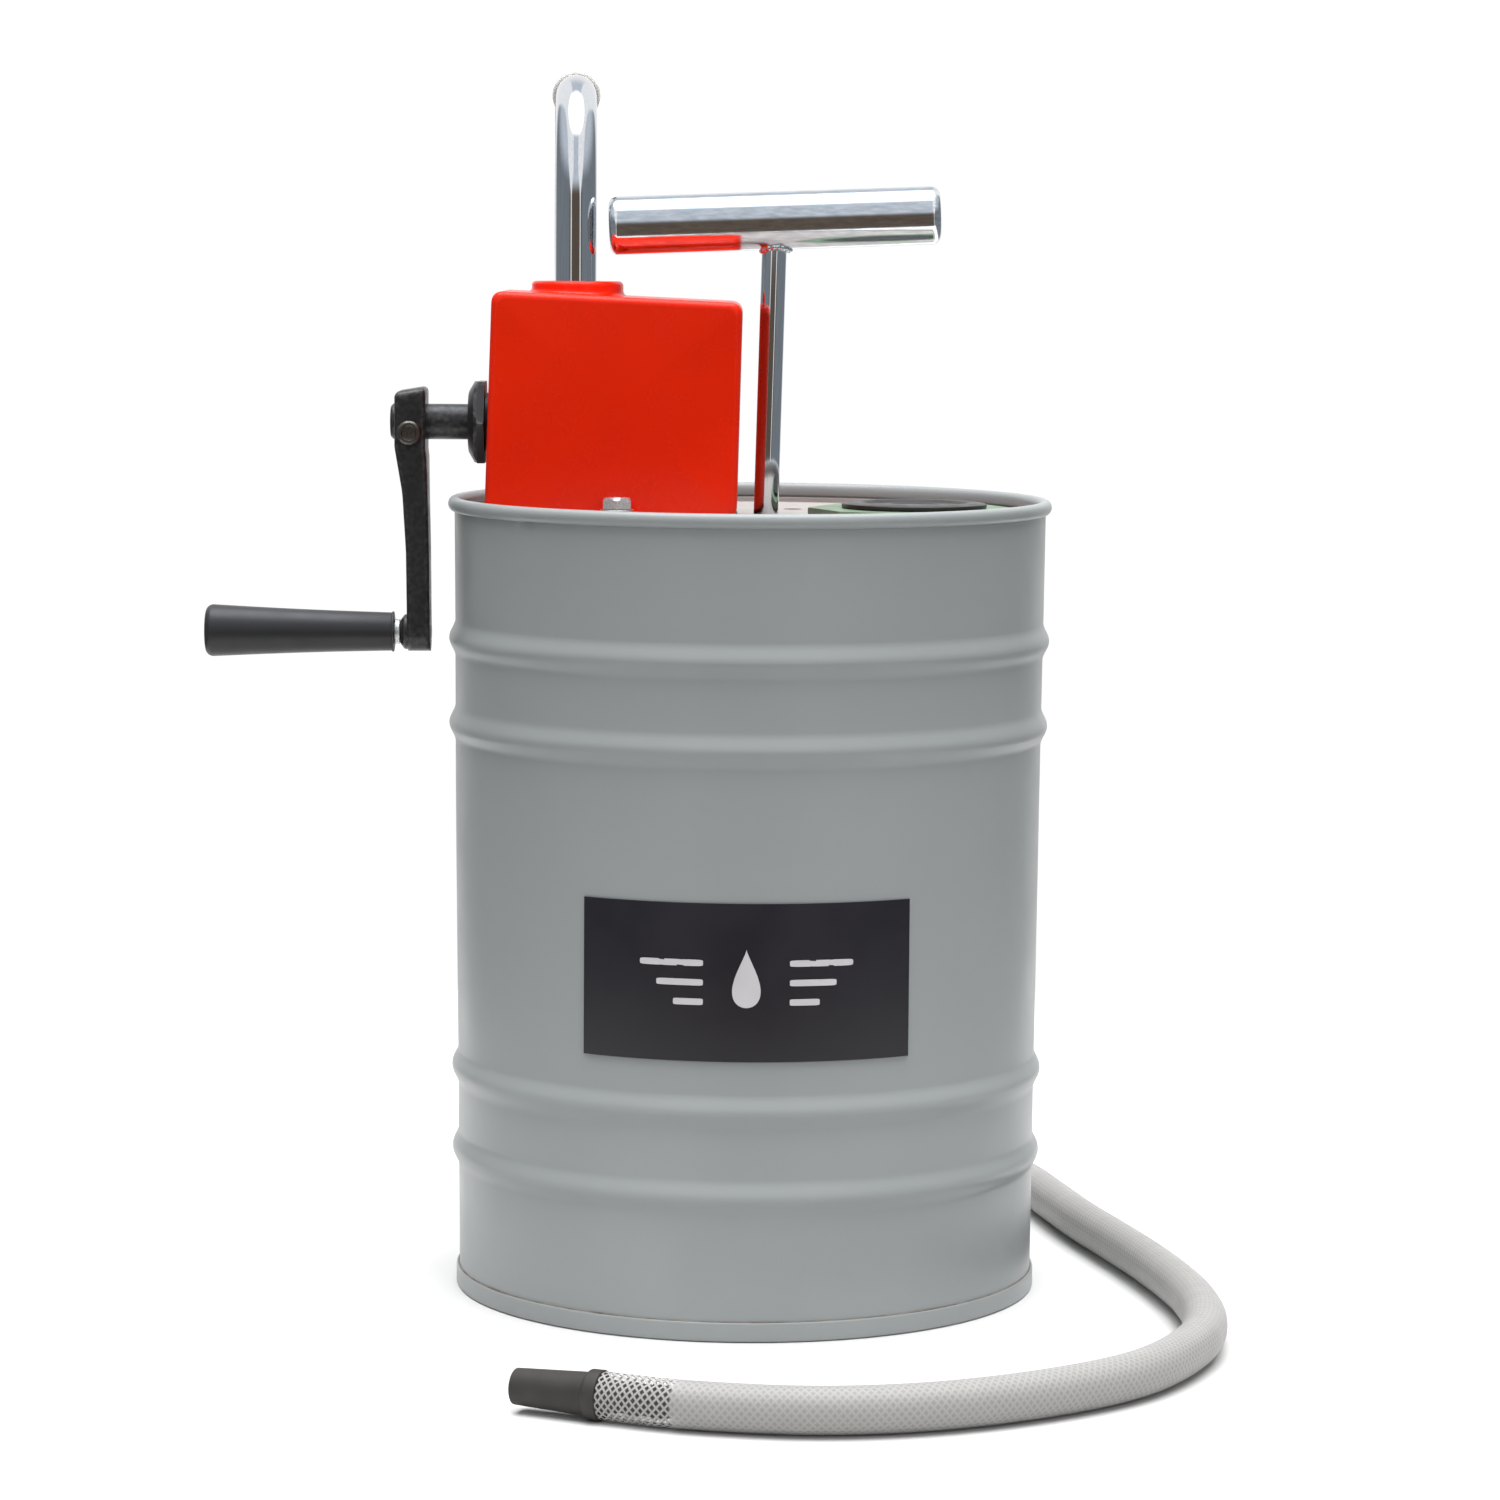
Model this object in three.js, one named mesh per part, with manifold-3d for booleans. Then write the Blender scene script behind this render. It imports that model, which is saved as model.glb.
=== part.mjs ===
// Hand-cranked gear oil pump on the cover of a 20 litre steel drum.
// Millimetres, +Z up. The origin is the centre of the drum's foot, the front is -Y and the crank is on -X.

import * as THREE from 'three';
import { mergeVertices } from 'three/addons/utils/BufferGeometryUtils.js';
import Module from 'manifold-3d';

const wasm = await Module();
wasm.setup();

// ------------------------------------------------------------------ driving dimensions

const GAP = 0.3; // between pieces that touch
const OVERRUN = 2; // how far a cutting tool passes a face

const DRUM = {
  sides: 40,
  topRadius: 142.5,
  footRadius: 139.4,
  wall: 1.2,
  height: 383, // to the crest of the rim bead
  beadHalfWidth: 3.1,
  beadHalfHeight: 3.5,
  ribLevels: [67, 107, 274, 315],
  ribHeight: 3,
  ribHalfWidth: 9,
  panSheet: 1.2,
  panFlange: 9,
};

const LABEL = { halfAngle: 32, bottom: 131.2, top: 204.6, thickness: 0.5 };

const COVER = { top: 373, sheet: 1.5, flange: 2.8, flangeSheet: 1.2 };
const VENT = { x: 21.2, y: 78.5, radius: 4.8 };

const FILLER = {
  x: 79.2,
  corners: 8,
  flangeRadius: 51.3,
  gasket: 1.3,
  flangeThickness: 3.4,
  neckOuter: 30,
  neckInner: 28,
  neckBottom: 360,
};

const CAP = { radius: 35, thickness: 2.6, dishRadius: 26, dishDepth: 1.4, skirtOuter: 27.4, skirtInner: 24.4,
  skirtLength: 12, sealInner: 28.6, sealOuter: 33, sealThickness: 0.8, rimBevel: 0.8, dishSlope: 2 };

const HANDLE = {
  footX: 7.7,
  rodRadius: 6,
  studRadius: 5,
  studLength: 18,
  lean: THREE.MathUtils.degToRad(1.38),
  barX: 11,
  barZ: 515.7,
  barRadius: 14,
  barLength: 159,
  barEdge: 5,
  barTilt: THREE.MathUtils.degToRad(2.3),
};

// The casting's front outline leans a little at both sides and falls towards the right along its top.
const HOUSING = {
  base: 374.3,
  bottomLeft: -126.5,
  bottomRight: -6.2,
  topLeft: -123.2,
  topRight: -3.9,
  topLeftZ: 481.7,
  topRightZ: 476.7,
  halfDepth: 40,
  wall: 5,
  corner: 5,
  edge: 3,
  bossX: -83.5,
  bossRadius: 22,
  bossTop: 486.2,
  bossEdge: 2,
  lugX: -62.8,
  lugY: 49,
  lugRadius: 10,
  lugThickness: 3.3,
};

const SHAFT = { y: -12, z: 418.8, radius: 8.5, end: -172.3, journal: 6, chamfer: 1.2 };

const GLAND = {
  left: -134.9,
  hexRight: -126.9,
  acrossFlats: 38.8,
  faceInset: 4.8, // the round outer face is this much inside the flats
  flatDepth: 2.8, // where the chamfer reaches the flats
  cornerDepth: 4.6, // and where it reaches the corners
  neckRadius: 14,
  neckEnd: -113,
  packingRadius: 12,
  packingDepth: 9,
  bossWall: 5,
};

const GEAR = {
  module: 2,
  teeth: 12,
  pressureAngle: THREE.MathUtils.degToRad(25),
  addendum: 0.8,
  dedendum: 1.25,
  backlash: 0.15, // taken off each flank at the pitch circle
  left: -98.3,
  right: -68.9,
};
const PITCH_RADIUS = (GEAR.module * GEAR.teeth) / 2;
const IDLER_Y = SHAFT.y + 2 * PITCH_RADIUS;

const CASE = {
  left: -104,
  right: -68.6,
  halfWidth: 32,
  halfHeight: 22,
  pedestalHalfWidth: 22,
  coverLeft: -68.3,
  coverThickness: 8,
  screwY: 27,
  screwZ: 17,
  boltY: 16,
  boltDepth: 18,
  seatWall: 1.5,
};
const BUSH = { outer: 8, inner: 6.3, cavityWall: 5.4 };

const OUTLET = { x: -84.4, outer: 10, inner: 8, foot: 432.3, legZ: 576, bend: 50, legEnd: 84,
  turn: THREE.MathUtils.degToRad(2.2) };
const SUCTION = { outer: 9, inner: 7, top: 388.7, foot: 16 };
const STRAINER = { radius: 18, wall: 1.5, bottom: 6, height: 18, holeRadius: 3, holeCircle: 10.5, holes: 6 };

const ARM = {
  hubLeft: -169.9,
  hubRight: -155.1,
  hubTop: 435.7,
  hubTopLeft: 433.2,
  hubBottom: 407,
  hubHalfWidth: 14,
  crestDrop: 6,
  crestInset: 4,
  shoulder: 385,
  shoulderInset: 3.5,
  shoulderFlare: 1.5,
  neckLow: 402,
  neckHigh: 404,
  neckStep: 0.5,
  waist: 357,
  waistInset: 5.2,
  waistStep: 1.5,
  footInset: 5.8,
  footStep: 2,
  footSlant: 1,
  footZ: 317.7,
  footRadius: 9.2,
  bossLeft: -167.6,
  bossRadius: 8.4,
};
const CROSS_BOLT = { x: -162.6, z: 414, radius: 4, headRadius: 5.8, headHeight: 4.5, rim: 2.2, edge: 0.8 };
const SPINDLE = { radius: 4, collarRadius: 6, headRadius: 5.5, headLength: 4, headInset: 8, peen: 1.6 };
const spindleEnd = ARM.hubRight + ARM.footStep;
const GRIP = { inner: -170.7, outer: -261.4, innerRadius: 9.2, outerRadius: 12.5, boreRadius: 4.6, edge: 4,
  pocketRadius: 6.1 };

const M8 = { radius: 4, acrossFlats: 13, head: 5.2, nut: 6.5, washerRadius: 8, washer: 1.5, past: 3 };
const M10 = { radius: 5, acrossFlats: 16, nut: 8, washerRadius: 10, washer: 2 };
const M6 = { radius: 3, acrossFlats: 10, head: 4 };
const M5 = { radius: 2.5, headRadius: 4.25, head: 5, length: 26 };

const HOSE = {
  outer: 10.5,
  inner: 8,
  stretched: 11.7,
  pipeOverlap: 31,
  barbOverlap: 34,
  sides: 10,
  steps: 58,
};
const NOZZLE = { collarRadius: 11.1, collar: 6, rootRadius: 9.6, tipRadius: 8, length: 42, boreRadius: 4.5,
  barbRadius: 7.7, barbLength: 33, barbs: 3, barbStep: 1.4, barbRidge: 1.5 };

// The hose falls behind the drum in one wide bend, crosses the floor there and comes round to the front.
const HOSE_ROUTE = [
  [-86.4, 53, 576],
  [-87.6, 85, 576],
  [-89.2, 125, 569],
  [-90.6, 160, 547],
  [-91.6, 183, 513],
  [-91.8, 191, 476],
  [-91.8, 191, 400],
  [-91.8, 191, 300],
  [-91.8, 192, 200],
  [-90, 195, 135],
  [-82, 204, 85],
  [-62, 222, 45],
  [-34, 245, 21],
  [4, 270, 10.8],
  [50, 286, 10.8],
  [95, 275, 10.8],
  [130, 240, 10.8],
  [148, 195, 10.8],
  [160, 143, 10.8],
  [171, 93, 10.8],
  [184, 44, 10.8],
  [196, -3, 10.8],
  [205.5, -48, 10.8],
  [212, -92, 10.8],
  [213, -138, 10.8],
  [204, -185, 10.8],
  [170, -247, 10.8],
  [100, -297, 10.8],
  [37, -313, 10.8],
  [-25, -304.5, 10.8],
  [-60, -290, 10.8],
];

// ------------------------------------------------------------------ materials

function paint(color, roughness, metalness) {
  return new THREE.MeshStandardMaterial({ color, roughness, metalness });
}

const MATERIAL = {
  drumPaint: paint(0x8f9495, 0.45, 0.1),
  coverPaint: paint(0xc2bebb, 0.5, 0.1),
  labelFilm: paint(0x2b292d, 0.4, 0),
  redEnamel: paint(0xc82800, 0.35, 0),
  zinc: paint(0xb9bbbd, 0.4, 0.8),
  blackSteel: paint(0x2d2d2e, 0.5, 0.5),
  greenPaint: paint(0x6e8c70, 0.5, 0.1),
  blackPlastic: paint(0x1e1d1d, 0.45, 0),
  gripPlastic: paint(0x4a4a4a, 0.55, 0),
  chrome: paint(0xd0d4d8, 0.1, 1),
  fibre: paint(0x5a5046, 0.9, 0),
  castIron: paint(0x6a6a6c, 0.7, 0.6),
  steel: paint(0x9a9c9f, 0.35, 0.9),
  bronze: paint(0xb08a4a, 0.4, 0.9),
  rubber: paint(0x52504d, 0.85, 0),
  clearHose: paint(0xcbcbca, 0.3, 0),
};

// ------------------------------------------------------------------ solids

const object = new THREE.Group();

function toSolid(geometry) {
  const bare = geometry.clone();
  bare.deleteAttribute('normal');
  bare.deleteAttribute('uv');
  const merged = mergeVertices(bare, 1e-4);
  const vertProperties = Float32Array.from(merged.attributes.position.array);
  const triVerts = Uint32Array.from(merged.index.array);
  return new wasm.Manifold(new wasm.Mesh({ numProp: 3, vertProperties, triVerts }));
}

function toGeometry(solid) {
  const mesh = solid.getMesh();
  const geometry = new THREE.BufferGeometry();
  geometry.setAttribute('position', new THREE.BufferAttribute(mesh.vertProperties, 3));
  geometry.setIndex(new THREE.BufferAttribute(mesh.triVerts, 1));
  return geometry;
}

function join(first, ...others) {
  return toGeometry(others.reduce((solid, other) => solid.add(toSolid(other)), toSolid(first)));
}

function cut(first, ...tools) {
  return toGeometry(tools.reduce((solid, tool) => solid.subtract(toSolid(tool)), toSolid(first)));
}

function common(first, second) {
  return toGeometry(toSolid(first).intersect(toSolid(second)));
}

function add(name, geometry, material) {
  const mesh = new THREE.Mesh(geometry, material);
  mesh.name = name;
  object.add(mesh);
  return mesh;
}

function place(name, geometry, material, x, y, z) {
  const mesh = add(name, geometry, material);
  mesh.position.set(x, y, z);
  return mesh;
}

// A profile of [radius, height] pairs, counter-clockwise, turned about the Z axis.
function spin(profile, sides = 16) {
  const points = profile.map(([radius, height]) => new THREE.Vector2(radius, height));
  return new THREE.LatheGeometry(points, sides).rotateX(Math.PI / 2);
}

function tube(outer, inner, bottom, top, sides = 16) {
  return spin([[inner, bottom], [outer, bottom], [outer, top], [inner, top], [inner, bottom]], sides);
}

function rod(radius, bottom, top, sides = 16) {
  return spin([[0, bottom], [radius, bottom], [radius, top], [0, top]], sides);
}

function box(low, high) {
  const size = high.map((value, axis) => value - low[axis]);
  const middle = high.map((value, axis) => (value + low[axis]) / 2);
  return new THREE.BoxGeometry(...size).translate(...middle);
}

// Turns a piece made along Z so that it runs along +X, or along +Y.
function alongX(geometry) {
  return geometry.rotateY(Math.PI / 2);
}

function alongY(geometry) {
  return geometry.rotateX(-Math.PI / 2);
}

function extrude(shape, height, curveSegments = 8) {
  return new THREE.ExtrudeGeometry(shape, { depth: height, bevelEnabled: false, curveSegments });
}

// An outline drawn in X and Z, extruded along +Y from the given Y.
function extrudeFront(shape, y, depth, options = {}) {
  const settings = { depth, bevelEnabled: false, curveSegments: 3, ...options };
  return new THREE.ExtrudeGeometry(shape, settings).rotateX(Math.PI / 2).translate(0, y + depth, 0);
}

function polygon(points) {
  return new THREE.Shape(points.map(([x, y]) => new THREE.Vector2(x, y)));
}

function roundedPolygon(points, radius) {
  const corners = points.map(([x, y]) => new THREE.Vector2(x, y));
  const shape = new THREE.Shape();
  corners.forEach((corner, index) => {
    const before = corners.at(index - 1).clone().sub(corner).setLength(radius).add(corner);
    const after = corners[(index + 1) % corners.length].clone().sub(corner).setLength(radius).add(corner);
    if (index === 0) {
      shape.moveTo(before.x, before.y);
    } else {
      shape.lineTo(before.x, before.y);
    }
    shape.quadraticCurveTo(corner.x, corner.y, after.x, after.y);
  });
  return shape;
}

// Corners are counted from the +X axis, turned by a fraction of a full turn.
function regularPolygon(sides, cornerRadius, turn = 0) {
  const points = Array.from({ length: sides }, (_, index) => {
    const angle = 2 * Math.PI * (index / sides + turn);
    return [cornerRadius * Math.cos(angle), cornerRadius * Math.sin(angle)];
  });
  return polygon(points);
}

function hexagon(acrossFlats, turn = 0) {
  return regularPolygon(6, acrossFlats / Math.sqrt(3), turn);
}

function withHole(shape, radius, sides = 16) {
  const edge = regularPolygon(sides, radius).getPoints().reverse();
  shape.holes.push(new THREE.Path(edge));
  return shape;
}

const VERTEX_TO_Y = 1 / 12; // a hexagon turned so that a corner points along Y

function hexNut(thread, height) {
  return extrude(withHole(hexagon(thread.acrossFlats, VERTEX_TO_Y), thread.radius + GAP), height);
}

// A hexagon bolt whose head stands on Z = 0, with the shank below it.
function hexBolt(thread, length) {
  const head = extrude(hexagon(thread.acrossFlats, VERTEX_TO_Y), thread.head);
  return join(head, rod(thread.radius, -length, thread.head / 2, 16));
}

function washer(thread) {
  return tube(thread.washerRadius, thread.radius + GAP, 0, thread.washer);
}

// ------------------------------------------------------------------ drum

function wallRadius(z) {
  const taper = (DRUM.topRadius - DRUM.footRadius) * (z / DRUM.height);
  const ribs = DRUM.ribLevels.map((level) => {
    const across = Math.min(1, Math.abs(z - level) / DRUM.ribHalfWidth);
    return DRUM.ribHeight * Math.cos((across * Math.PI) / 2) ** 2;
  });
  return DRUM.footRadius + taper + Math.max(...ribs);
}

function drumShell() {
  const beadR = DRUM.topRadius - 0.2;
  const beadZ = DRUM.height - DRUM.beadHalfHeight;
  const foot = DRUM.panSheet + GAP;
  const ribEdges = DRUM.ribLevels
    .flatMap((level) => [-1, 0, 1].map((side) => level + side * DRUM.ribHalfWidth));
  const outer = [foot, ...ribEdges].map((z) => [wallRadius(z), z]);
  const inner = outer.map(([radius, z]) => [radius - DRUM.wall, z]).reverse();
  const bead = [-86, -40, 0, 45, 90, 135, 180, 251].map((degrees) => {
    const angle = THREE.MathUtils.degToRad(degrees);
    return [beadR + DRUM.beadHalfWidth * Math.cos(angle), beadZ + DRUM.beadHalfHeight * Math.sin(angle)];
  });
  return spin([...outer, ...bead, ...inner, outer[0]], DRUM.sides);
}

function drumBottom() {
  const inner = wallRadius(DRUM.panFlange) + GAP;
  const outer = inner + DRUM.panSheet;
  return spin([[0, 0], [outer, 0], [outer, DRUM.panFlange], [inner, DRUM.panFlange],
    [inner, DRUM.panSheet], [0, DRUM.panSheet]], DRUM.sides);
}

function drumLabel() {
  const inner = wallRadius(LABEL.top) + GAP;
  const outer = inner + LABEL.thickness;
  const half = THREE.MathUtils.degToRad(LABEL.halfAngle);
  const front = -Math.PI / 2;
  const shape = new THREE.Shape();
  shape.absarc(0, 0, outer, front - half, front + half, false);
  shape.absarc(0, 0, inner, front + half, front - half, true);
  return extrude(shape, LABEL.top - LABEL.bottom, 16).translate(0, 0, LABEL.bottom);
}

function coverPlate() {
  const bottom = COVER.top - COVER.sheet;
  const outer = wallRadius(bottom) - DRUM.wall - GAP;
  const inner = outer - COVER.flangeSheet;
  const plate = spin([[0, bottom], [outer, bottom], [outer, COVER.top + COVER.flange],
    [inner, COVER.top + COVER.flange], [inner, COVER.top], [0, COVER.top]], DRUM.sides);
  const hole = (x, y, radius, sides = 12) => (
    rod(radius, bottom - OVERRUN, COVER.top + OVERRUN, sides).translate(x, y, 0));
  return cut(plate,
    hole(VENT.x, VENT.y, VENT.radius),
    hole(FILLER.x, 0, FILLER.neckOuter + GAP, 24),
    hole(HANDLE.footX, 0, HANDLE.studRadius + GAP),
    hole(OUTLET.x, 0, SUCTION.outer + GAP),
    hole(HOUSING.lugX, -HOUSING.lugY, M8.radius + GAP),
    hole(HOUSING.lugX, HOUSING.lugY, M8.radius + GAP),
    hole(OUTLET.x, -CASE.boltY, M6.radius + GAP),
    hole(OUTLET.x, CASE.boltY, M6.radius + GAP));
}

add('drum_shell', drumShell(), MATERIAL.drumPaint);
add('drum_bottom', drumBottom(), MATERIAL.drumPaint);
add('drum_label', drumLabel(), MATERIAL.labelFilm);
add('cover_plate', coverPlate(), MATERIAL.coverPaint);

// ------------------------------------------------------------------ filler

const fillerGasketZ = COVER.top + GAP;
const fillerFlangeZ = fillerGasketZ + FILLER.gasket + GAP;
const fillerTop = fillerFlangeZ + FILLER.flangeThickness;

function fillerGasket() {
  const shape = withHole(regularPolygon(FILLER.corners, FILLER.flangeRadius), FILLER.neckOuter + GAP, 24);
  return extrude(shape, FILLER.gasket);
}

function fillerFlange() {
  const plate = extrude(regularPolygon(FILLER.corners, FILLER.flangeRadius), FILLER.flangeThickness);
  const neck = rod(FILLER.neckOuter, FILLER.neckBottom - fillerFlangeZ, FILLER.flangeThickness / 2, 24);
  const mouth = rod(FILLER.neckInner, FILLER.neckBottom - fillerFlangeZ - OVERRUN,
    FILLER.flangeThickness + OVERRUN, 24);
  return cut(join(plate, neck), mouth);
}

// The cap's rim rests on the flange, its skirt fills the mouth and a flat ring seals the two.
function fillerCap() {
  const pocket = CAP.sealThickness + GAP;
  return spin([
    [CAP.skirtInner, -CAP.skirtLength], [CAP.skirtOuter, -CAP.skirtLength], [CAP.skirtOuter, pocket],
    [CAP.sealOuter + GAP, pocket], [CAP.sealOuter + GAP, 0], [CAP.radius, 0],
    [CAP.radius, CAP.thickness - CAP.rimBevel], [CAP.radius - CAP.rimBevel, CAP.thickness],
    [CAP.dishRadius, CAP.thickness], [CAP.dishRadius - CAP.dishSlope, CAP.thickness - CAP.dishDepth],
    [0, CAP.thickness - CAP.dishDepth], [0, 0], [CAP.skirtInner, 0], [CAP.skirtInner, -CAP.skirtLength],
  ], 24);
}

place('filler_gasket', fillerGasket(), MATERIAL.fibre, FILLER.x, 0, fillerGasketZ);
place('filler_flange', fillerFlange(), MATERIAL.greenPaint, FILLER.x, 0, fillerFlangeZ);
place('filler_cap', fillerCap(), MATERIAL.blackPlastic, FILLER.x, 0, fillerTop + GAP);
place('filler_cap_seal', tube(CAP.sealOuter, CAP.sealInner, 0, CAP.sealThickness, 24), MATERIAL.rubber,
  FILLER.x, 0, fillerTop + GAP);

// ------------------------------------------------------------------ carry handle

function handleBar() {
  const half = HANDLE.barLength / 2;
  const arc = (centre, from) => [0, 45, 90].map((degrees) => {
    const angle = THREE.MathUtils.degToRad(from + degrees);
    return [HANDLE.barRadius - HANDLE.barEdge + HANDLE.barEdge * Math.cos(angle),
      centre + HANDLE.barEdge * Math.sin(angle)];
  });
  return alongX(spin([[0, -half], ...arc(HANDLE.barEdge - half, -90), ...arc(half - HANDLE.barEdge, 0),
    [0, half]], 24));
}

// The rod leans with the bar; its stud stands upright through the cover.
function handleRod() {
  const foot = COVER.top + GAP;
  const length = HANDLE.barZ - foot;
  const leaning = rod(HANDLE.rodRadius, -2 * OVERRUN, length)
    .rotateY(HANDLE.lean)
    .translate(HANDLE.footX, 0, foot);
  const reach = HANDLE.rodRadius + OVERRUN;
  const below = box([HANDLE.footX - reach, -reach, foot - 4 * OVERRUN],
    [HANDLE.footX + reach, reach, foot]);
  const stud = rod(HANDLE.studRadius, -HANDLE.studLength, OVERRUN).translate(HANDLE.footX, 0, foot);
  const saddle = alongX(rod(HANDLE.barRadius + GAP, -2 * HANDLE.barRadius, 2 * HANDLE.barRadius, 24))
    .rotateY(-HANDLE.barTilt).translate(HANDLE.barX, 0, HANDLE.barZ);
  return cut(join(cut(leaning, below), stud), saddle);
}

const underCover = COVER.top - COVER.sheet - GAP;
const bar = place('handle_bar', handleBar(), MATERIAL.chrome, HANDLE.barX, 0, HANDLE.barZ);
bar.rotation.y = -HANDLE.barTilt;
add('handle_rod', handleRod(), MATERIAL.chrome);
place('handle_washer', washer(M10), MATERIAL.zinc, HANDLE.footX, 0, underCover - M10.washer);
place('handle_nut', hexNut(M10, M10.nut), MATERIAL.zinc, HANDLE.footX, 0,
  underCover - M10.washer - GAP - M10.nut);

// ------------------------------------------------------------------ pump housing

function housingOutline(inset, bottom) {
  return roundedPolygon([
    [HOUSING.bottomLeft + inset, bottom],
    [HOUSING.bottomRight - inset, bottom],
    [HOUSING.topRight - inset, HOUSING.topRightZ - inset],
    [HOUSING.topLeft + inset, HOUSING.topLeftZ - inset],
  ], HOUSING.corner);
}

function lug(y, bottom, thickness) {
  const side = Math.sign(y);
  const round = rod(HOUSING.lugRadius, bottom, bottom + thickness).translate(HOUSING.lugX, y, 0);
  const rootY = side * (HOUSING.halfDepth - OVERRUN);
  const web = box([HOUSING.lugX - HOUSING.lugRadius, Math.min(rootY, y), bottom],
    [HOUSING.lugX + HOUSING.lugRadius, Math.max(rootY, y), bottom + thickness]);
  const hole = rod(M8.radius + GAP, bottom - OVERRUN, bottom + thickness + OVERRUN, 16);
  return cut(join(round, web), hole.translate(HOUSING.lugX, y, 0));
}

function pumpHousing() {
  const depth = 2 * HOUSING.halfDepth;
  const bevel = { bevelEnabled: true, bevelThickness: HOUSING.edge, bevelSize: HOUSING.edge,
    bevelOffset: -HOUSING.edge, bevelSegments: 2 };
  const block = extrudeFront(housingOutline(0, HOUSING.base - 4 * OVERRUN), HOUSING.edge - HOUSING.halfDepth,
    depth - 2 * HOUSING.edge, bevel);
  const cavity = extrudeFront(housingOutline(HOUSING.wall, HOUSING.base - 5 * OVERRUN),
    HOUSING.wall - HOUSING.halfDepth, depth - 2 * HOUSING.wall);
  const below = box([HOUSING.bottomLeft - OVERRUN, -HOUSING.halfDepth - OVERRUN, HOUSING.base - 8 * OVERRUN],
    [HOUSING.bottomRight + OVERRUN, HOUSING.halfDepth + OVERRUN, HOUSING.base]);
  const bossFoot = HOUSING.topRightZ - HOUSING.wall;
  const { bossRadius, bossEdge, bossTop } = HOUSING;
  const boss = spin([[0, bossFoot], [bossRadius, bossFoot], [bossRadius, bossTop - bossEdge],
    [bossRadius - bossEdge, bossTop], [0, bossTop]], 24).translate(HOUSING.bossX, 0, 0);
  const pipeHole = rod(OUTLET.outer + GAP, bossFoot - 5 * OVERRUN, HOUSING.bossTop + OVERRUN);
  const bossRim = GLAND.neckRadius + GLAND.bossWall;
  const glandBoss = alongX(rod(bossRim, HOUSING.bottomLeft + HOUSING.wall, GLAND.neckEnd))
    .translate(0, SHAFT.y, SHAFT.z);
  const glandHole = alongX(rod(GLAND.neckRadius + GAP, GLAND.hexRight - OVERRUN, GLAND.neckEnd + OVERRUN))
    .translate(0, SHAFT.y, SHAFT.z);
  const lugs = [-HOUSING.lugY, HOUSING.lugY].map((y) => lug(y, HOUSING.base, HOUSING.lugThickness));
  const shell = join(cut(block, cavity, below), boss, glandBoss, ...lugs);
  return cut(shell, pipeHole.translate(OUTLET.x, 0, 0), glandHole);
}

function housingGasket() {
  const bottom = COVER.top + GAP;
  const thickness = HOUSING.base - GAP - bottom;
  const low = [HOUSING.bottomLeft, -HOUSING.halfDepth, bottom];
  const high = [HOUSING.bottomRight, HOUSING.halfDepth, bottom + thickness];
  const inside = box([low[0] + HOUSING.wall, low[1] + HOUSING.wall, bottom - OVERRUN],
    [high[0] - HOUSING.wall, high[1] - HOUSING.wall, bottom + OVERRUN]);
  const lugs = [-HOUSING.lugY, HOUSING.lugY].map((y) => lug(y, bottom, thickness));
  return join(cut(box(low, high), inside), ...lugs);
}

function housingFasteners() {
  const washerZ = HOUSING.base + HOUSING.lugThickness + GAP;
  const headZ = washerZ + M8.washer + GAP;
  const nutZ = underCover - M8.nut;
  const length = headZ - nutZ + M8.past;
  for (const [end, y] of [['front', -HOUSING.lugY], ['rear', HOUSING.lugY]]) {
    place(`housing_washer_${end}`, washer(M8), MATERIAL.zinc, HOUSING.lugX, y, washerZ);
    place(`housing_bolt_${end}`, hexBolt(M8, length), MATERIAL.zinc, HOUSING.lugX, y, headZ);
    place(`housing_nut_${end}`, hexNut(M8, M8.nut), MATERIAL.zinc, HOUSING.lugX, y, nutZ);
  }
}

add('pump_housing', pumpHousing(), MATERIAL.redEnamel);
add('housing_gasket', housingGasket(), MATERIAL.fibre);
housingFasteners();

// ------------------------------------------------------------------ gland

function glandNut() {
  const hexLength = GLAND.hexRight - GLAND.left;
  const hex = extrude(hexagon(GLAND.acrossFlats, VERTEX_TO_Y), hexLength);
  const cornerRadius = GLAND.acrossFlats / Math.sqrt(3);
  const flatRadius = GLAND.acrossFlats / 2;
  const chamfer = spin([[0, 0], [flatRadius - GLAND.faceInset, 0], [flatRadius, GLAND.flatDepth],
    [cornerRadius, GLAND.cornerDepth], [cornerRadius, hexLength], [0, hexLength]], 24);
  const total = GLAND.neckEnd - GLAND.left;
  const body = join(common(hex, chamfer), rod(GLAND.neckRadius, hexLength / 2, total));
  const bore = rod(SHAFT.radius + GAP, -OVERRUN, total + OVERRUN);
  const packingSeat = rod(GLAND.packingRadius + GAP, total - GLAND.packingDepth, total + OVERRUN);
  return cut(body, bore, packingSeat);
}

place('gland_nut', alongX(glandNut()), MATERIAL.blackSteel, GLAND.left, SHAFT.y, SHAFT.z);
place('gland_packing',
  alongX(tube(GLAND.packingRadius, SHAFT.radius + GAP, 0, GLAND.packingDepth - 2 * GAP)),
  MATERIAL.fibre, GLAND.neckEnd - GLAND.packingDepth + GAP, SHAFT.y, SHAFT.z);

// ------------------------------------------------------------------ gear case

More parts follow.
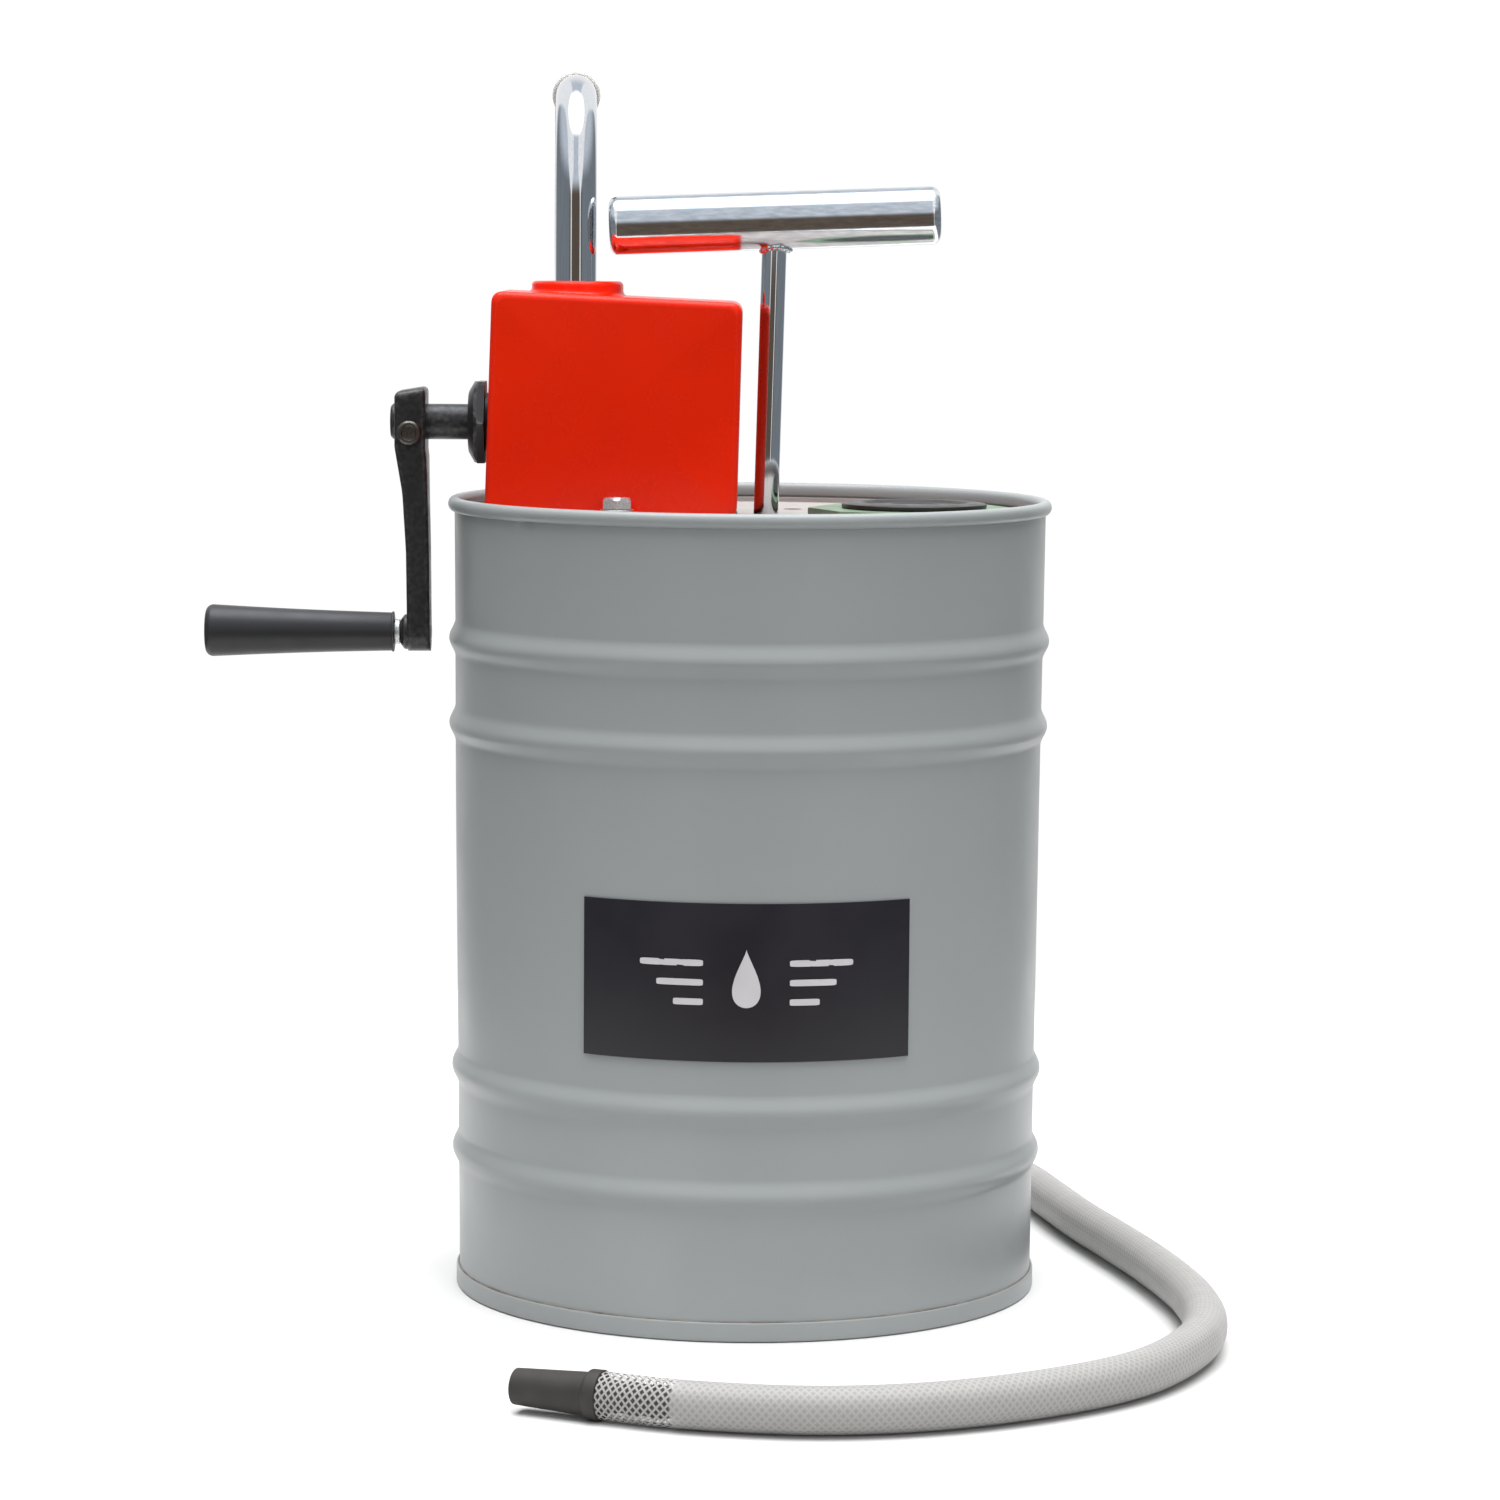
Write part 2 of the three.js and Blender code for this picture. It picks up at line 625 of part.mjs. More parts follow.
function gearCase() {
  const top = SHAFT.z + CASE.halfHeight;
  const foot = COVER.top + GAP;
  const block = box([CASE.left, -CASE.halfWidth, SHAFT.z - CASE.halfHeight],
    [CASE.right, CASE.halfWidth, top]);
  const pedestal = box([CASE.left, -CASE.pedestalHalfWidth, foot],
    [CASE.right, CASE.pedestalHalfWidth, SHAFT.z - CASE.halfHeight + OVERRUN]);
  const tipRadius = PITCH_RADIUS + GEAR.addendum * GEAR.module;
  const cavityFloor = CASE.left + BUSH.cavityWall;
  const alongShaft = (radius, from, to, y, z = SHAFT.z, sides = 16) => (
    alongX(rod(radius, from, to, sides)).translate(0, y, z));
  const past = CASE.right + OVERRUN;
  const upright = (radius, from, to) => rod(radius, from, to).translate(OUTLET.x, 0, 0);
  const tools = [
    alongShaft(tipRadius + GAP, cavityFloor, past, SHAFT.y, SHAFT.z, 24),
    alongShaft(tipRadius + GAP, cavityFloor, past, IDLER_Y, SHAFT.z, 24),
    alongShaft(BUSH.outer + GAP, CASE.left - OVERRUN, past, SHAFT.y),
    alongShaft(BUSH.outer + GAP, CASE.left - OVERRUN, past, IDLER_Y),
    upright(OUTLET.inner, SHAFT.z, top + OVERRUN),
    upright(OUTLET.outer + GAP, OUTLET.foot - GAP, top + OVERRUN),
    upright(OUTLET.inner, foot - OVERRUN, SHAFT.z),
    upright(SUCTION.outer + GAP, foot - OVERRUN, SUCTION.top + GAP),
  ];
  for (const side of [-1, 1]) {
    tools.push(rod(M6.radius + GAP, foot - OVERRUN, foot + CASE.boltDepth, 8)
      .translate(OUTLET.x, side * CASE.boltY, 0));
    for (const end of [-1, 1]) {
      tools.push(alongShaft(M5.radius + GAP, CASE.right - M5.length, past, side * CASE.screwY,
        SHAFT.z + end * CASE.screwZ, 8));
    }
  }
  return cut(join(block, pedestal), ...tools);
}

function gearCaseCover() {
  const plate = box([0, -CASE.halfWidth, -CASE.halfHeight],
    [CASE.coverThickness, CASE.halfWidth, CASE.halfHeight]);
  const seatEnd = CASE.coverThickness - CASE.seatWall;
  const seat = (y) => alongX(rod(BUSH.outer + GAP, -OVERRUN, seatEnd)).translate(0, y, 0);
  const tools = [seat(SHAFT.y), seat(IDLER_Y)];
  for (const y of [-CASE.screwY, CASE.screwY]) {
    for (const z of [-CASE.screwZ, CASE.screwZ]) {
      tools.push(alongX(rod(M5.radius + GAP, -OVERRUN, CASE.coverThickness + OVERRUN, 8))
        .translate(0, y, z));
    }
  }
  return cut(plate, ...tools);
}

// A socket-head screw whose head's seat is at Z = 0 with the shank above it.
function caseScrew() {
  const socket = extrude(hexagon(4), M5.head / 2 + OVERRUN).translate(0, 0, -M5.head - OVERRUN);
  const body = spin([[0, -M5.head], [M5.headRadius, -M5.head], [M5.headRadius, 0], [M5.radius, 0],
    [M5.radius, M5.length], [0, M5.length]], 12);
  return cut(body, socket);
}

function gearCaseFasteners() {
  const seatX = CASE.coverLeft + CASE.coverThickness + GAP;
  let number = 1;
  for (const y of [-CASE.screwY, CASE.screwY]) {
    for (const z of [-CASE.screwZ, CASE.screwZ]) {
      const screw = place(`gear_case_screw_${number}`, caseScrew(), MATERIAL.steel, seatX, y, SHAFT.z + z);
      screw.rotation.y = -Math.PI / 2;
      number += 1;
    }
  }
  for (const [end, y] of [['front', -CASE.boltY], ['rear', CASE.boltY]]) {
    const bolt = place(`case_bolt_${end}`, hexBolt(M6, 18), MATERIAL.zinc, OUTLET.x, y, underCover);
    bolt.rotation.x = Math.PI;
  }
}

function bushes() {
  const leftFrom = CASE.left + GAP;
  const leftLength = BUSH.cavityWall - 2 * GAP;
  const rightFrom = CASE.coverLeft + GAP;
  const rightLength = CASE.coverThickness - CASE.seatWall - 2 * GAP;
  for (const [name, y] of [['drive', SHAFT.y], ['driven', IDLER_Y]]) {
    const left = alongX(tube(BUSH.outer, BUSH.inner, 0, leftLength));
    const right = alongX(tube(BUSH.outer, BUSH.inner, 0, rightLength));
    place(`${name}_bush_left`, left, MATERIAL.bronze, leftFrom, y, SHAFT.z);
    place(`${name}_bush_right`, right, MATERIAL.bronze, rightFrom, y, SHAFT.z);
  }
}

add('gear_case', gearCase(), MATERIAL.castIron);
place('gear_case_cover', gearCaseCover(), MATERIAL.castIron, CASE.coverLeft, 0, SHAFT.z);
gearCaseFasteners();
bushes();

// ------------------------------------------------------------------ gears and shafts

function involute(angle) {
  return Math.tan(angle) - angle;
}

// One gear's outline. A tooth points along +Y before the turn is applied.
function gearOutline(turn) {
  const baseRadius = PITCH_RADIUS * Math.cos(GEAR.pressureAngle);
  const tipRadius = PITCH_RADIUS + GEAR.addendum * GEAR.module;
  const rootRadius = PITCH_RADIUS - GEAR.dedendum * GEAR.module;
  const pitchHalf = Math.PI / (2 * GEAR.teeth) - GEAR.backlash / PITCH_RADIUS;
  const halfAngle = (radius) => {
    const local = Math.acos(Math.min(1, baseRadius / radius));
    return pitchHalf + involute(GEAR.pressureAngle) - involute(local);
  };
  const flank = [rootRadius, baseRadius, PITCH_RADIUS, tipRadius];
  const points = [];
  for (let tooth = 0; tooth < GEAR.teeth; tooth += 1) {
    const middle = Math.PI / 2 + turn + (2 * Math.PI * tooth) / GEAR.teeth;
    const at = (radius, side) => {
      const angle = middle + side * halfAngle(Math.max(radius, baseRadius));
      return [radius * Math.cos(angle), radius * Math.sin(angle)];
    };
    points.push(...flank.map((radius) => at(radius, -1)));
    points.push(...flank.toReversed().map((radius) => at(radius, 1)));
  }
  return polygon(points);
}

const KEY = { width: 4, low: 4.6, high: 7.6, length: 20 };
const HALF_PITCH = Math.PI / GEAR.teeth;

function gear(turn, tools = []) {
  const body = alongX(extrude(gearOutline(turn), GEAR.right - GEAR.left));
  const bore = alongX(rod(SHAFT.journal + GAP, -OVERRUN, GEAR.right - GEAR.left + OVERRUN));
  return cut(body, bore, ...tools);
}

function driveGear() {
  const half = KEY.width / 2 + GAP;
  const keyway = box([-OVERRUN, -half, 0], [GEAR.right - GEAR.left + OVERRUN, half, KEY.high + GAP]);
  return gear(0, [keyway]);
}

function keyBox(clearance) {
  const middle = (GEAR.left + GEAR.right) / 2;
  const halfLength = KEY.length / 2 + clearance;
  const halfWidth = KEY.width / 2 + clearance;
  return box([middle - halfLength, -halfWidth, KEY.low - clearance],
    [middle + halfLength, halfWidth, KEY.high]);
}

function crankShaft() {
  const journalStart = CASE.left - 2 * GAP;
  const journalEnd = CASE.coverLeft + CASE.coverThickness - CASE.seatWall - 2 * GAP;
  const body = alongX(spin([
    [0, SHAFT.end], [SHAFT.radius - SHAFT.chamfer, SHAFT.end], [SHAFT.radius, SHAFT.end + SHAFT.chamfer],
    [SHAFT.radius, journalStart], [SHAFT.journal, journalStart], [SHAFT.journal, journalEnd],
    [0, journalEnd],
  ]));
  const boltNotch = alongY(rod(CROSS_BOLT.radius + GAP, -2 * SHAFT.radius, 2 * SHAFT.radius))
    .translate(CROSS_BOLT.x, 0, CROSS_BOLT.z - SHAFT.z);
  return cut(body, keyBox(GAP), boltNotch);
}

function idlerShaft() {
  const from = CASE.left + GAP;
  const to = CASE.coverLeft + CASE.coverThickness - CASE.seatWall - 2 * GAP;
  return alongX(rod(SHAFT.journal, from, to));
}

place('drive_gear', driveGear(), MATERIAL.steel, GEAR.left, SHAFT.y, SHAFT.z);
place('drive_gear_key', keyBox(0), MATERIAL.steel, 0, SHAFT.y, SHAFT.z);
place('crank_shaft', crankShaft(), MATERIAL.blackSteel, 0, SHAFT.y, SHAFT.z);
place('driven_gear', gear(HALF_PITCH), MATERIAL.steel, GEAR.left, IDLER_Y, SHAFT.z);
place('idler_shaft', idlerShaft(), MATERIAL.steel, 0, IDLER_Y, SHAFT.z);

// ------------------------------------------------------------------ crank

// The arm is what the front outline and the side outline have in common: a wide hub block, a shoulder
// below the cross bolt and a slimmer blade down to the grip.
function armFrontOutline() {
  const footBottom = ARM.footZ - ARM.footRadius;
  return polygon([
    [ARM.hubLeft + ARM.footInset, footBottom],
    [ARM.hubRight + ARM.footStep, footBottom - ARM.footSlant],
    [ARM.hubRight + ARM.waistStep, ARM.waist],
    [ARM.hubRight + ARM.neckStep, ARM.neckLow],
    [ARM.hubRight, ARM.neckHigh],
    [ARM.hubRight, ARM.hubTop],
    [ARM.hubLeft, ARM.hubTopLeft],
    [ARM.hubLeft, ARM.hubBottom],
    [ARM.hubLeft + ARM.shoulderInset, ARM.shoulder],
    [ARM.hubLeft + ARM.waistInset, ARM.waist],
  ]);
}

function armSideOutline() {
  const shape = new THREE.Shape();
  shape.moveTo(-ARM.footRadius, ARM.footZ);
  shape.absarc(0, ARM.footZ, ARM.footRadius, Math.PI, 2 * Math.PI, false);
  shape.lineTo(ARM.footRadius + ARM.shoulderFlare, ARM.shoulder);
  shape.lineTo(ARM.hubHalfWidth, ARM.hubBottom);
  shape.lineTo(ARM.hubHalfWidth, ARM.hubTop - ARM.crestDrop);
  shape.lineTo(ARM.hubHalfWidth - ARM.crestInset, ARM.hubTop + OVERRUN);
  shape.lineTo(ARM.crestInset - ARM.hubHalfWidth, ARM.hubTop + OVERRUN);
  shape.lineTo(-ARM.hubHalfWidth, ARM.hubTop - ARM.crestDrop);
  shape.lineTo(-ARM.hubHalfWidth, ARM.hubBottom);
  shape.lineTo(-ARM.footRadius - ARM.shoulderFlare, ARM.shoulder);
  return shape;
}

function crankArm() {
  const front = extrudeFront(armFrontOutline(), -2 * ARM.hubHalfWidth, 4 * ARM.hubHalfWidth);
  // Drawn in Y and Z, then stood up and pushed along +X.
  const depth = 2 * (ARM.hubRight - ARM.hubLeft);
  const side = extrude(armSideOutline(), depth).rotateX(Math.PI / 2).rotateZ(Math.PI / 2)
    .translate(ARM.hubLeft - depth / 4, 0, 0);
  const boss = alongX(rod(ARM.bossRadius, ARM.bossLeft, ARM.hubRight)).translate(0, 0, ARM.footZ);
  const shaftHole = alongX(rod(SHAFT.radius + GAP, ARM.hubLeft - OVERRUN, ARM.hubRight + OVERRUN))
    .translate(0, 0, SHAFT.z);
  const holeRadius = SPINDLE.radius + GAP;
  const sinkStart = spindleEnd - SPINDLE.peen - GAP / 2;
  const sinkEnd = spindleEnd + OVERRUN;
  const spindleHole = alongX(spin([[0, ARM.bossLeft - OVERRUN], [holeRadius, ARM.bossLeft - OVERRUN],
    [holeRadius, sinkStart], [holeRadius + sinkEnd - sinkStart, sinkEnd], [0, sinkEnd]]))
    .translate(0, 0, ARM.footZ);
  const boltHole = alongY(rod(CROSS_BOLT.radius + GAP, -2 * ARM.hubHalfWidth, 2 * ARM.hubHalfWidth))
    .translate(CROSS_BOLT.x, 0, CROSS_BOLT.z);
  return cut(join(common(front, side), boss), shaftHole, spindleHole, boltHole);
}

// A round-headed cross bolt: the seat of its head is at Z = 0 and the shank runs up.
function crankBolt() {
  const length = 2 * ARM.hubHalfWidth + GAP + M8.nut + M8.past;
  const crown = -CROSS_BOLT.headHeight;
  const hollow = crown + CROSS_BOLT.edge;
  const headRadius = CROSS_BOLT.headRadius;
  return spin([
    [0, hollow], [headRadius - CROSS_BOLT.rim, hollow], [headRadius - CROSS_BOLT.rim, crown],
    [headRadius - CROSS_BOLT.edge, crown], [headRadius, hollow], [headRadius, 0],
    [CROSS_BOLT.radius, 0], [CROSS_BOLT.radius, length], [0, length],
  ]);
}

// The spindle's near end is peened into a countersink, flush with the arm; its far head keeps the grip on.
function gripSpindle() {
  const { radius, collarRadius, headRadius, headLength, peen } = SPINDLE;
  const farEnd = GRIP.outer + SPINDLE.headInset;
  return spin([
    [0, farEnd], [headRadius, farEnd], [headRadius, farEnd + headLength], [radius, farEnd + headLength],
    [radius, GRIP.inner + GAP], [collarRadius, GRIP.inner + GAP], [collarRadius, ARM.bossLeft - GAP],
    [radius, ARM.bossLeft - GAP], [radius, spindleEnd - peen], [radius + peen, spindleEnd], [0, spindleEnd],
  ]);
}

function crankGrip() {
  const pocketStart = GRIP.outer + SPINDLE.headInset - 2 * GAP;
  const pocketEnd = GRIP.outer + SPINDLE.headInset + SPINDLE.headLength + 2 * GAP;
  const arc = [0, 30, 60, 90].map((degrees) => {
    const angle = THREE.MathUtils.degToRad(degrees);
    const inset = GRIP.edge * (1 - Math.sin(angle));
    return [GRIP.outerRadius - inset, GRIP.outer + GRIP.edge * (1 - Math.cos(angle))];
  });
  return spin([
    [0, GRIP.outer], ...arc, [GRIP.innerRadius, GRIP.inner], [GRIP.boreRadius, GRIP.inner],
    [GRIP.boreRadius, pocketEnd], [GRIP.pocketRadius, pocketEnd], [GRIP.pocketRadius, pocketStart],
    [0, pocketStart],
  ], 20);
}

const hubFront = SHAFT.y - ARM.hubHalfWidth;
place('crank_arm', crankArm(), MATERIAL.blackSteel, 0, SHAFT.y, 0);
place('crank_bolt', alongY(crankBolt()), MATERIAL.blackSteel, CROSS_BOLT.x, hubFront - GAP, CROSS_BOLT.z);
place('crank_bolt_nut', alongY(hexNut(M8, M8.nut)), MATERIAL.blackSteel, CROSS_BOLT.x,
  SHAFT.y + ARM.hubHalfWidth + GAP, CROSS_BOLT.z);
place('grip_spindle', alongX(gripSpindle()), MATERIAL.zinc, 0, SHAFT.y, ARM.footZ);
place('crank_grip', alongX(crankGrip()), MATERIAL.gripPlastic, 0, SHAFT.y, ARM.footZ);

// ------------------------------------------------------------------ pipes

function ringShape(outer, inner, sides) {
  return withHole(regularPolygon(sides, outer), inner, sides);
}

// The gooseneck rises from the gear case, bends through a right angle and ends in a level leg.
class Gooseneck extends THREE.Curve {
  getPoint(t) {
    const rise = OUTLET.legZ - OUTLET.bend - OUTLET.foot;
    const arc = (OUTLET.bend * Math.PI) / 2;
    const leg = OUTLET.legEnd - OUTLET.bend;
    const along = t * (rise + arc + leg);
    if (along < rise) {
      return new THREE.Vector3(0, 0, along);
    }
    if (along < rise + arc) {
      const angle = (along - rise) / OUTLET.bend;
      return new THREE.Vector3(0, OUTLET.bend * (1 - Math.cos(angle)), rise + OUTLET.bend * Math.sin(angle));
    }
    return new THREE.Vector3(0, OUTLET.bend + along - rise - arc, rise + OUTLET.bend);
  }
}

function outletPipe() {
  const shape = ringShape(OUTLET.outer, OUTLET.inner, 12);
  return new THREE.ExtrudeGeometry(shape, { steps: 18, extrudePath: new Gooseneck(), bevelEnabled: false });
}

function suctionStrainer() {
  const { radius, wall, bottom, height } = STRAINER;
  const top = bottom + height;
  const mouth = SUCTION.outer + GAP;
  const cup = spin([[0, bottom], [radius, bottom], [radius, top], [mouth, top], [mouth, top - wall],
    [radius - wall, top - wall], [radius - wall, bottom + wall], [0, bottom + wall]]);
  const holes = Array.from({ length: STRAINER.holes }, (_, index) => {
    const angle = (2 * Math.PI * index) / STRAINER.holes;
    return rod(STRAINER.holeRadius, bottom - OVERRUN, bottom + wall + OVERRUN, 8)
      .translate(STRAINER.holeCircle * Math.cos(angle), STRAINER.holeCircle * Math.sin(angle), 0);
  });
  return cut(cup, ...holes);
}

const outlet = place('outlet_pipe', outletPipe(), MATERIAL.chrome, OUTLET.x, 0, OUTLET.foot);
outlet.rotation.z = OUTLET.turn;
place('suction_pipe', tube(SUCTION.outer, SUCTION.inner, SUCTION.foot, SUCTION.top), MATERIAL.zinc,
  OUTLET.x, 0, 0);
place('suction_strainer', suctionStrainer(), MATERIAL.zinc, OUTLET.x, 0, 0);

// ------------------------------------------------------------------ hose and nozzle

const routePoints = HOSE_ROUTE.map((point) => new THREE.Vector3(...point));
const route = new THREE.CatmullRomCurve3(routePoints, false, 'centripetal');

// Points a piece made along Z in a given direction and moves it to a given place.
function aim(geometry, origin, direction) {
  const turn = new THREE.Quaternion().setFromUnitVectors(new THREE.Vector3(0, 0, 1), direction);
  return geometry.applyQuaternion(turn).translate(origin.x, origin.y, origin.z);
}

function hoseRun() {
  const shape = regularPolygon(HOSE.sides, HOSE.outer);
  const run = new THREE.ExtrudeGeometry(shape, {
    steps: HOSE.steps,
    extrudePath: route,
    bevelEnabled: false,
  });
  const start = route.getPoint(0);
  const end = route.getPoint(1);
  const legAxis = new THREE.Vector3(-Math.sin(OUTLET.turn), Math.cos(OUTLET.turn), 0);
  const nozzleAxis = route.getTangent(1);
  const stretch = aim(rod(HOSE.stretched, 0, HOSE.pipeOverlap), start, legAxis);
  const legBore = aim(rod(OUTLET.outer + GAP, -OVERRUN, HOSE.pipeOverlap + 1), start, legAxis);
  const barbBore = aim(rod(HOSE.inner, -HOSE.barbOverlap, OVERRUN), end, nozzleAxis);
  return cut(join(run, stretch), legBore, barbBore);
}

function nozzle() {
  const { collarRadius, collar, rootRadius, tipRadius, length, boreRadius } = NOZZLE;
  const ridge = NOZZLE.barbLength / NOZZLE.barbs;
  const neckRadius = NOZZLE.barbRadius - NOZZLE.barbStep;
  const barb = Array.from({ length: NOZZLE.barbs }, (_, index) => (index - NOZZLE.barbs) * ridge)
    .flatMap((start) => [
      [neckRadius, start],
      [NOZZLE.barbRadius, start + ridge - NOZZLE.barbRidge],
      [neckRadius, start + ridge - NOZZLE.barbRidge],
    ]);
  return spin([
    [boreRadius, -NOZZLE.barbLength], ...barb, [neckRadius, 0], [collarRadius, 0], [collarRadius, collar],
    [rootRadius, collar + collarRadius - rootRadius], [tipRadius, length], [boreRadius, length],
    [boreRadius, -NOZZLE.barbLength],
  ]);
}

function aimedNozzle() {
  const axis = route.getTangent(1);
  const seat = route.getPoint(1).addScaledVector(axis, GAP);
  return aim(nozzle(), seat, axis);
}

add('hose_run', hoseRun(), MATERIAL.clearHose);
add('nozzle', aimedNozzle(), MATERIAL.rubber);

export default object;
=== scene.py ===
"""Gear oil pump on a 20 litre steel drum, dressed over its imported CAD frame.

A hand crank turns a gear pump inside a red casting that stands on the drum's cover. Oil leaves through a
chromed gooseneck and a clear braided hose with a rubber nozzle. Sizes are in millimetres inside the classes
and become metres when a mesh is made. The drum's axis is Z, the front is -Y and the crank is on -X.
"""

from __future__ import annotations

import logging
import math
from dataclasses import dataclass
from enum import Enum
from typing import Any, Sequence

import bmesh
import bpy
import numpy as np
from mathutils import Matrix, Vector

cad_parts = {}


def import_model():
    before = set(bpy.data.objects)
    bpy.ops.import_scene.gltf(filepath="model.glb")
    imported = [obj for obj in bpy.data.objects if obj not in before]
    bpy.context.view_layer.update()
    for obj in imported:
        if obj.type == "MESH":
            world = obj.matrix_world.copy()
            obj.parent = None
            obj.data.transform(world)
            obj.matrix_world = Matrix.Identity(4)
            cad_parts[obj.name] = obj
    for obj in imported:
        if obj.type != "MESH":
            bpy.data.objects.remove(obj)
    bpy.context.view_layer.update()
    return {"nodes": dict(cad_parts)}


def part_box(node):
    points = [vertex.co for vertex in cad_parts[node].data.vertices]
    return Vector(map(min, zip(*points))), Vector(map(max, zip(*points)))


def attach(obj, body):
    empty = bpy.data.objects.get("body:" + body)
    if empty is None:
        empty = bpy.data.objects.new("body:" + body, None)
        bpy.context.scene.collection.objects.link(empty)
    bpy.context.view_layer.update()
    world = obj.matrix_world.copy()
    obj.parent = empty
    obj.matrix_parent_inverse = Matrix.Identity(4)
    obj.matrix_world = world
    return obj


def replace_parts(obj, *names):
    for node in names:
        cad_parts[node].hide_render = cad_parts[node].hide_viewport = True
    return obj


LOG = logging.getLogger("gear_oil_pump")
MM = 0.001
MERGED = 2e-6  # metres within which two points become one
VANISHED = 1e-7  # metres below which an edge is dropped
Array = np.ndarray


# ---------------------------------------------------------------- places taken from the frame


@dataclass(frozen=True)
class Span:
    """The box of one or more CAD nodes, in millimetres."""

    low: Array
    high: Array

    @classmethod
    def of(cls, *nodes: str) -> Span:
        """Measures nodes in the frame.

        Args:
            nodes: names of CAD nodes.

        Returns:
            The box round all of them.
        """
        boxes = [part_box(node) for node in nodes]
        low = np.min([box[0] for box in boxes], axis=0) / MM
        high = np.max([box[1] for box in boxes], axis=0) / MM
        return cls(low, high)

    @property
    def mid(self) -> Array:
        """The box's centre."""
        return (self.low + self.high) / 2

    @property
    def size(self) -> Array:
        """The box's three side lengths."""
        return self.high - self.low


# ---------------------------------------------------------------- surfaces


@dataclass(frozen=True)
class Flats:
    """Flat sides that cut a round section down to a polygon.

    Attributes:
        count: number of flat sides.
        apothem: distance from the axis to a flat.
        turn: angle of the first corner, in degrees from +X.
    """

    count: int
    apothem: float
    turn: float = 0.0

    def radius(self, angle: Array) -> Array:
        """Gives the polygon's radius: the apothem over the cosine of the angle from a flat's middle.

        Args:
            angle: angles about the axis, in radians.

        Returns:
            The radius at each angle.
        """
        step = 2 * math.pi / self.count
        local = (angle - math.radians(self.turn)) % step - step / 2
        return self.apothem / np.cos(local)


def arc(centre: Sequence[float], radius: float, start: float, end: float, steps: int = 8) -> Array:
    """Draws an arc in a profile: centre plus radius times (cosine, sine) of an angle that runs evenly.

    Args:
        centre: the arc's centre.
        radius: its radius.
        start: first angle in degrees.
        end: last angle in degrees.
        steps: number of chords.

    Returns:
        Points of shape (steps + 1, 2).
    """
    angle = np.radians(np.linspace(start, end, steps + 1))
    return np.stack([centre[0] + radius * np.cos(angle), centre[1] + radius * np.sin(angle)], axis=1)


def eased(points: Sequence[Sequence[float]], radius: float, steps: int = 4, closed: bool = False) -> Array:
    """Rounds the corners of an outline with quadratic curves.

    Each corner is left at `radius` before it and joined again at `radius` after it, or at half of the side
    where the side is short. The curve between is (1-t)^2 A + 2t(1-t) P + t^2 B.

    Args:
        points: the outline's corners.
        radius: how far from each corner the rounding starts.
        steps: chords in each rounding.
        closed: whether the last corner joins the first.

    Returns:
        The rounded outline, shape (n, 2). A closed outline doesn't repeat its first point.
    """
    corner = np.asarray(points, float)
    before = np.roll(corner, 1, axis=0) - corner
    after = np.roll(corner, -1, axis=0) - corner
    length_in = np.linalg.norm(before, axis=1, keepdims=True)
    length_out = np.linalg.norm(after, axis=1, keepdims=True)
    start = corner + before / length_in * np.minimum(radius, length_in / 2)
    end = corner + after / length_out * np.minimum(radius, length_out / 2)
    t = np.linspace(0, 1, steps + 1)[None, :, None]
    curve = (1 - t) ** 2 * start[:, None] + 2 * t * (1 - t) * corner[:, None] + t**2 * end[:, None]
    if closed:
        return curve.reshape(-1, 2)
    return np.vstack([corner[:1], curve[1:-1].reshape(-1, 2), corner[-1:]])


def turned(profile: Array, sides: int = 64, flats: Flats | None = None) -> Array:
    """Turns a profile about Z: (radius cos a, radius sin a, height), with no radius past the flats.

    Args:
        profile: points of (radius, height), listed with the material on their left.
        sides: number of steps round the axis.
        flats: flat sides that cut the section, if it has any.

    Returns:
        A grid of shape (points, sides + 1, 3).
    """
    angle = np.linspace(0, 2 * math.pi, sides + 1)
    radius = np.repeat(np.asarray(profile)[:, :1], sides + 1, axis=1)
    if flats:
        radius = np.minimum(radius, flats.radius(angle)[None, :])
    height = np.repeat(np.asarray(profile)[:, 1:], sides + 1, axis=1)
    return np.stack([radius * np.cos(angle), radius * np.sin(angle), height], axis=-1)


def capped(grid: Array) -> Array:
    """Closes both ends of a tube-like grid flat, with a row at the middle of its first and last rows.

    Args:
        grid: rings of points, each of which repeats its first point.

    Returns:
        The grid with two more rows.
    """
    first = np.broadcast_to(grid[0, :-1].mean(axis=0), grid[0].shape)
    last = np.broadcast_to(grid[-1, :-1].mean(axis=0), grid[-1].shape)
    return np.concatenate([first[None], grid, last[None]])


def along_x(grid: Array) -> Array:
    """Lays a piece made along Z down along +X."""
    return np.stack([grid[..., 2], grid[..., 1], -grid[..., 0]], axis=-1)


def along_y(grid: Array) -> Array:
    """Lays a piece made along Z down along +Y."""
    return np.stack([grid[..., 0], grid[..., 2], -grid[..., 1]], axis=-1)


def aimed(grid: Array, origin: Sequence[float], direction: Sequence[float]) -> Array:
    """Points a piece made along Z in a direction, then moves it to an origin.

    Args:
        grid: the piece.
        origin: where its own origin goes.
        direction: where its Z axis points.

    Returns:
        The moved grid.
    """
    turn = Vector((0, 0, 1)).rotation_difference(Vector(direction)).to_matrix()
    return grid @ np.array(turn).T + np.asarray(origin)


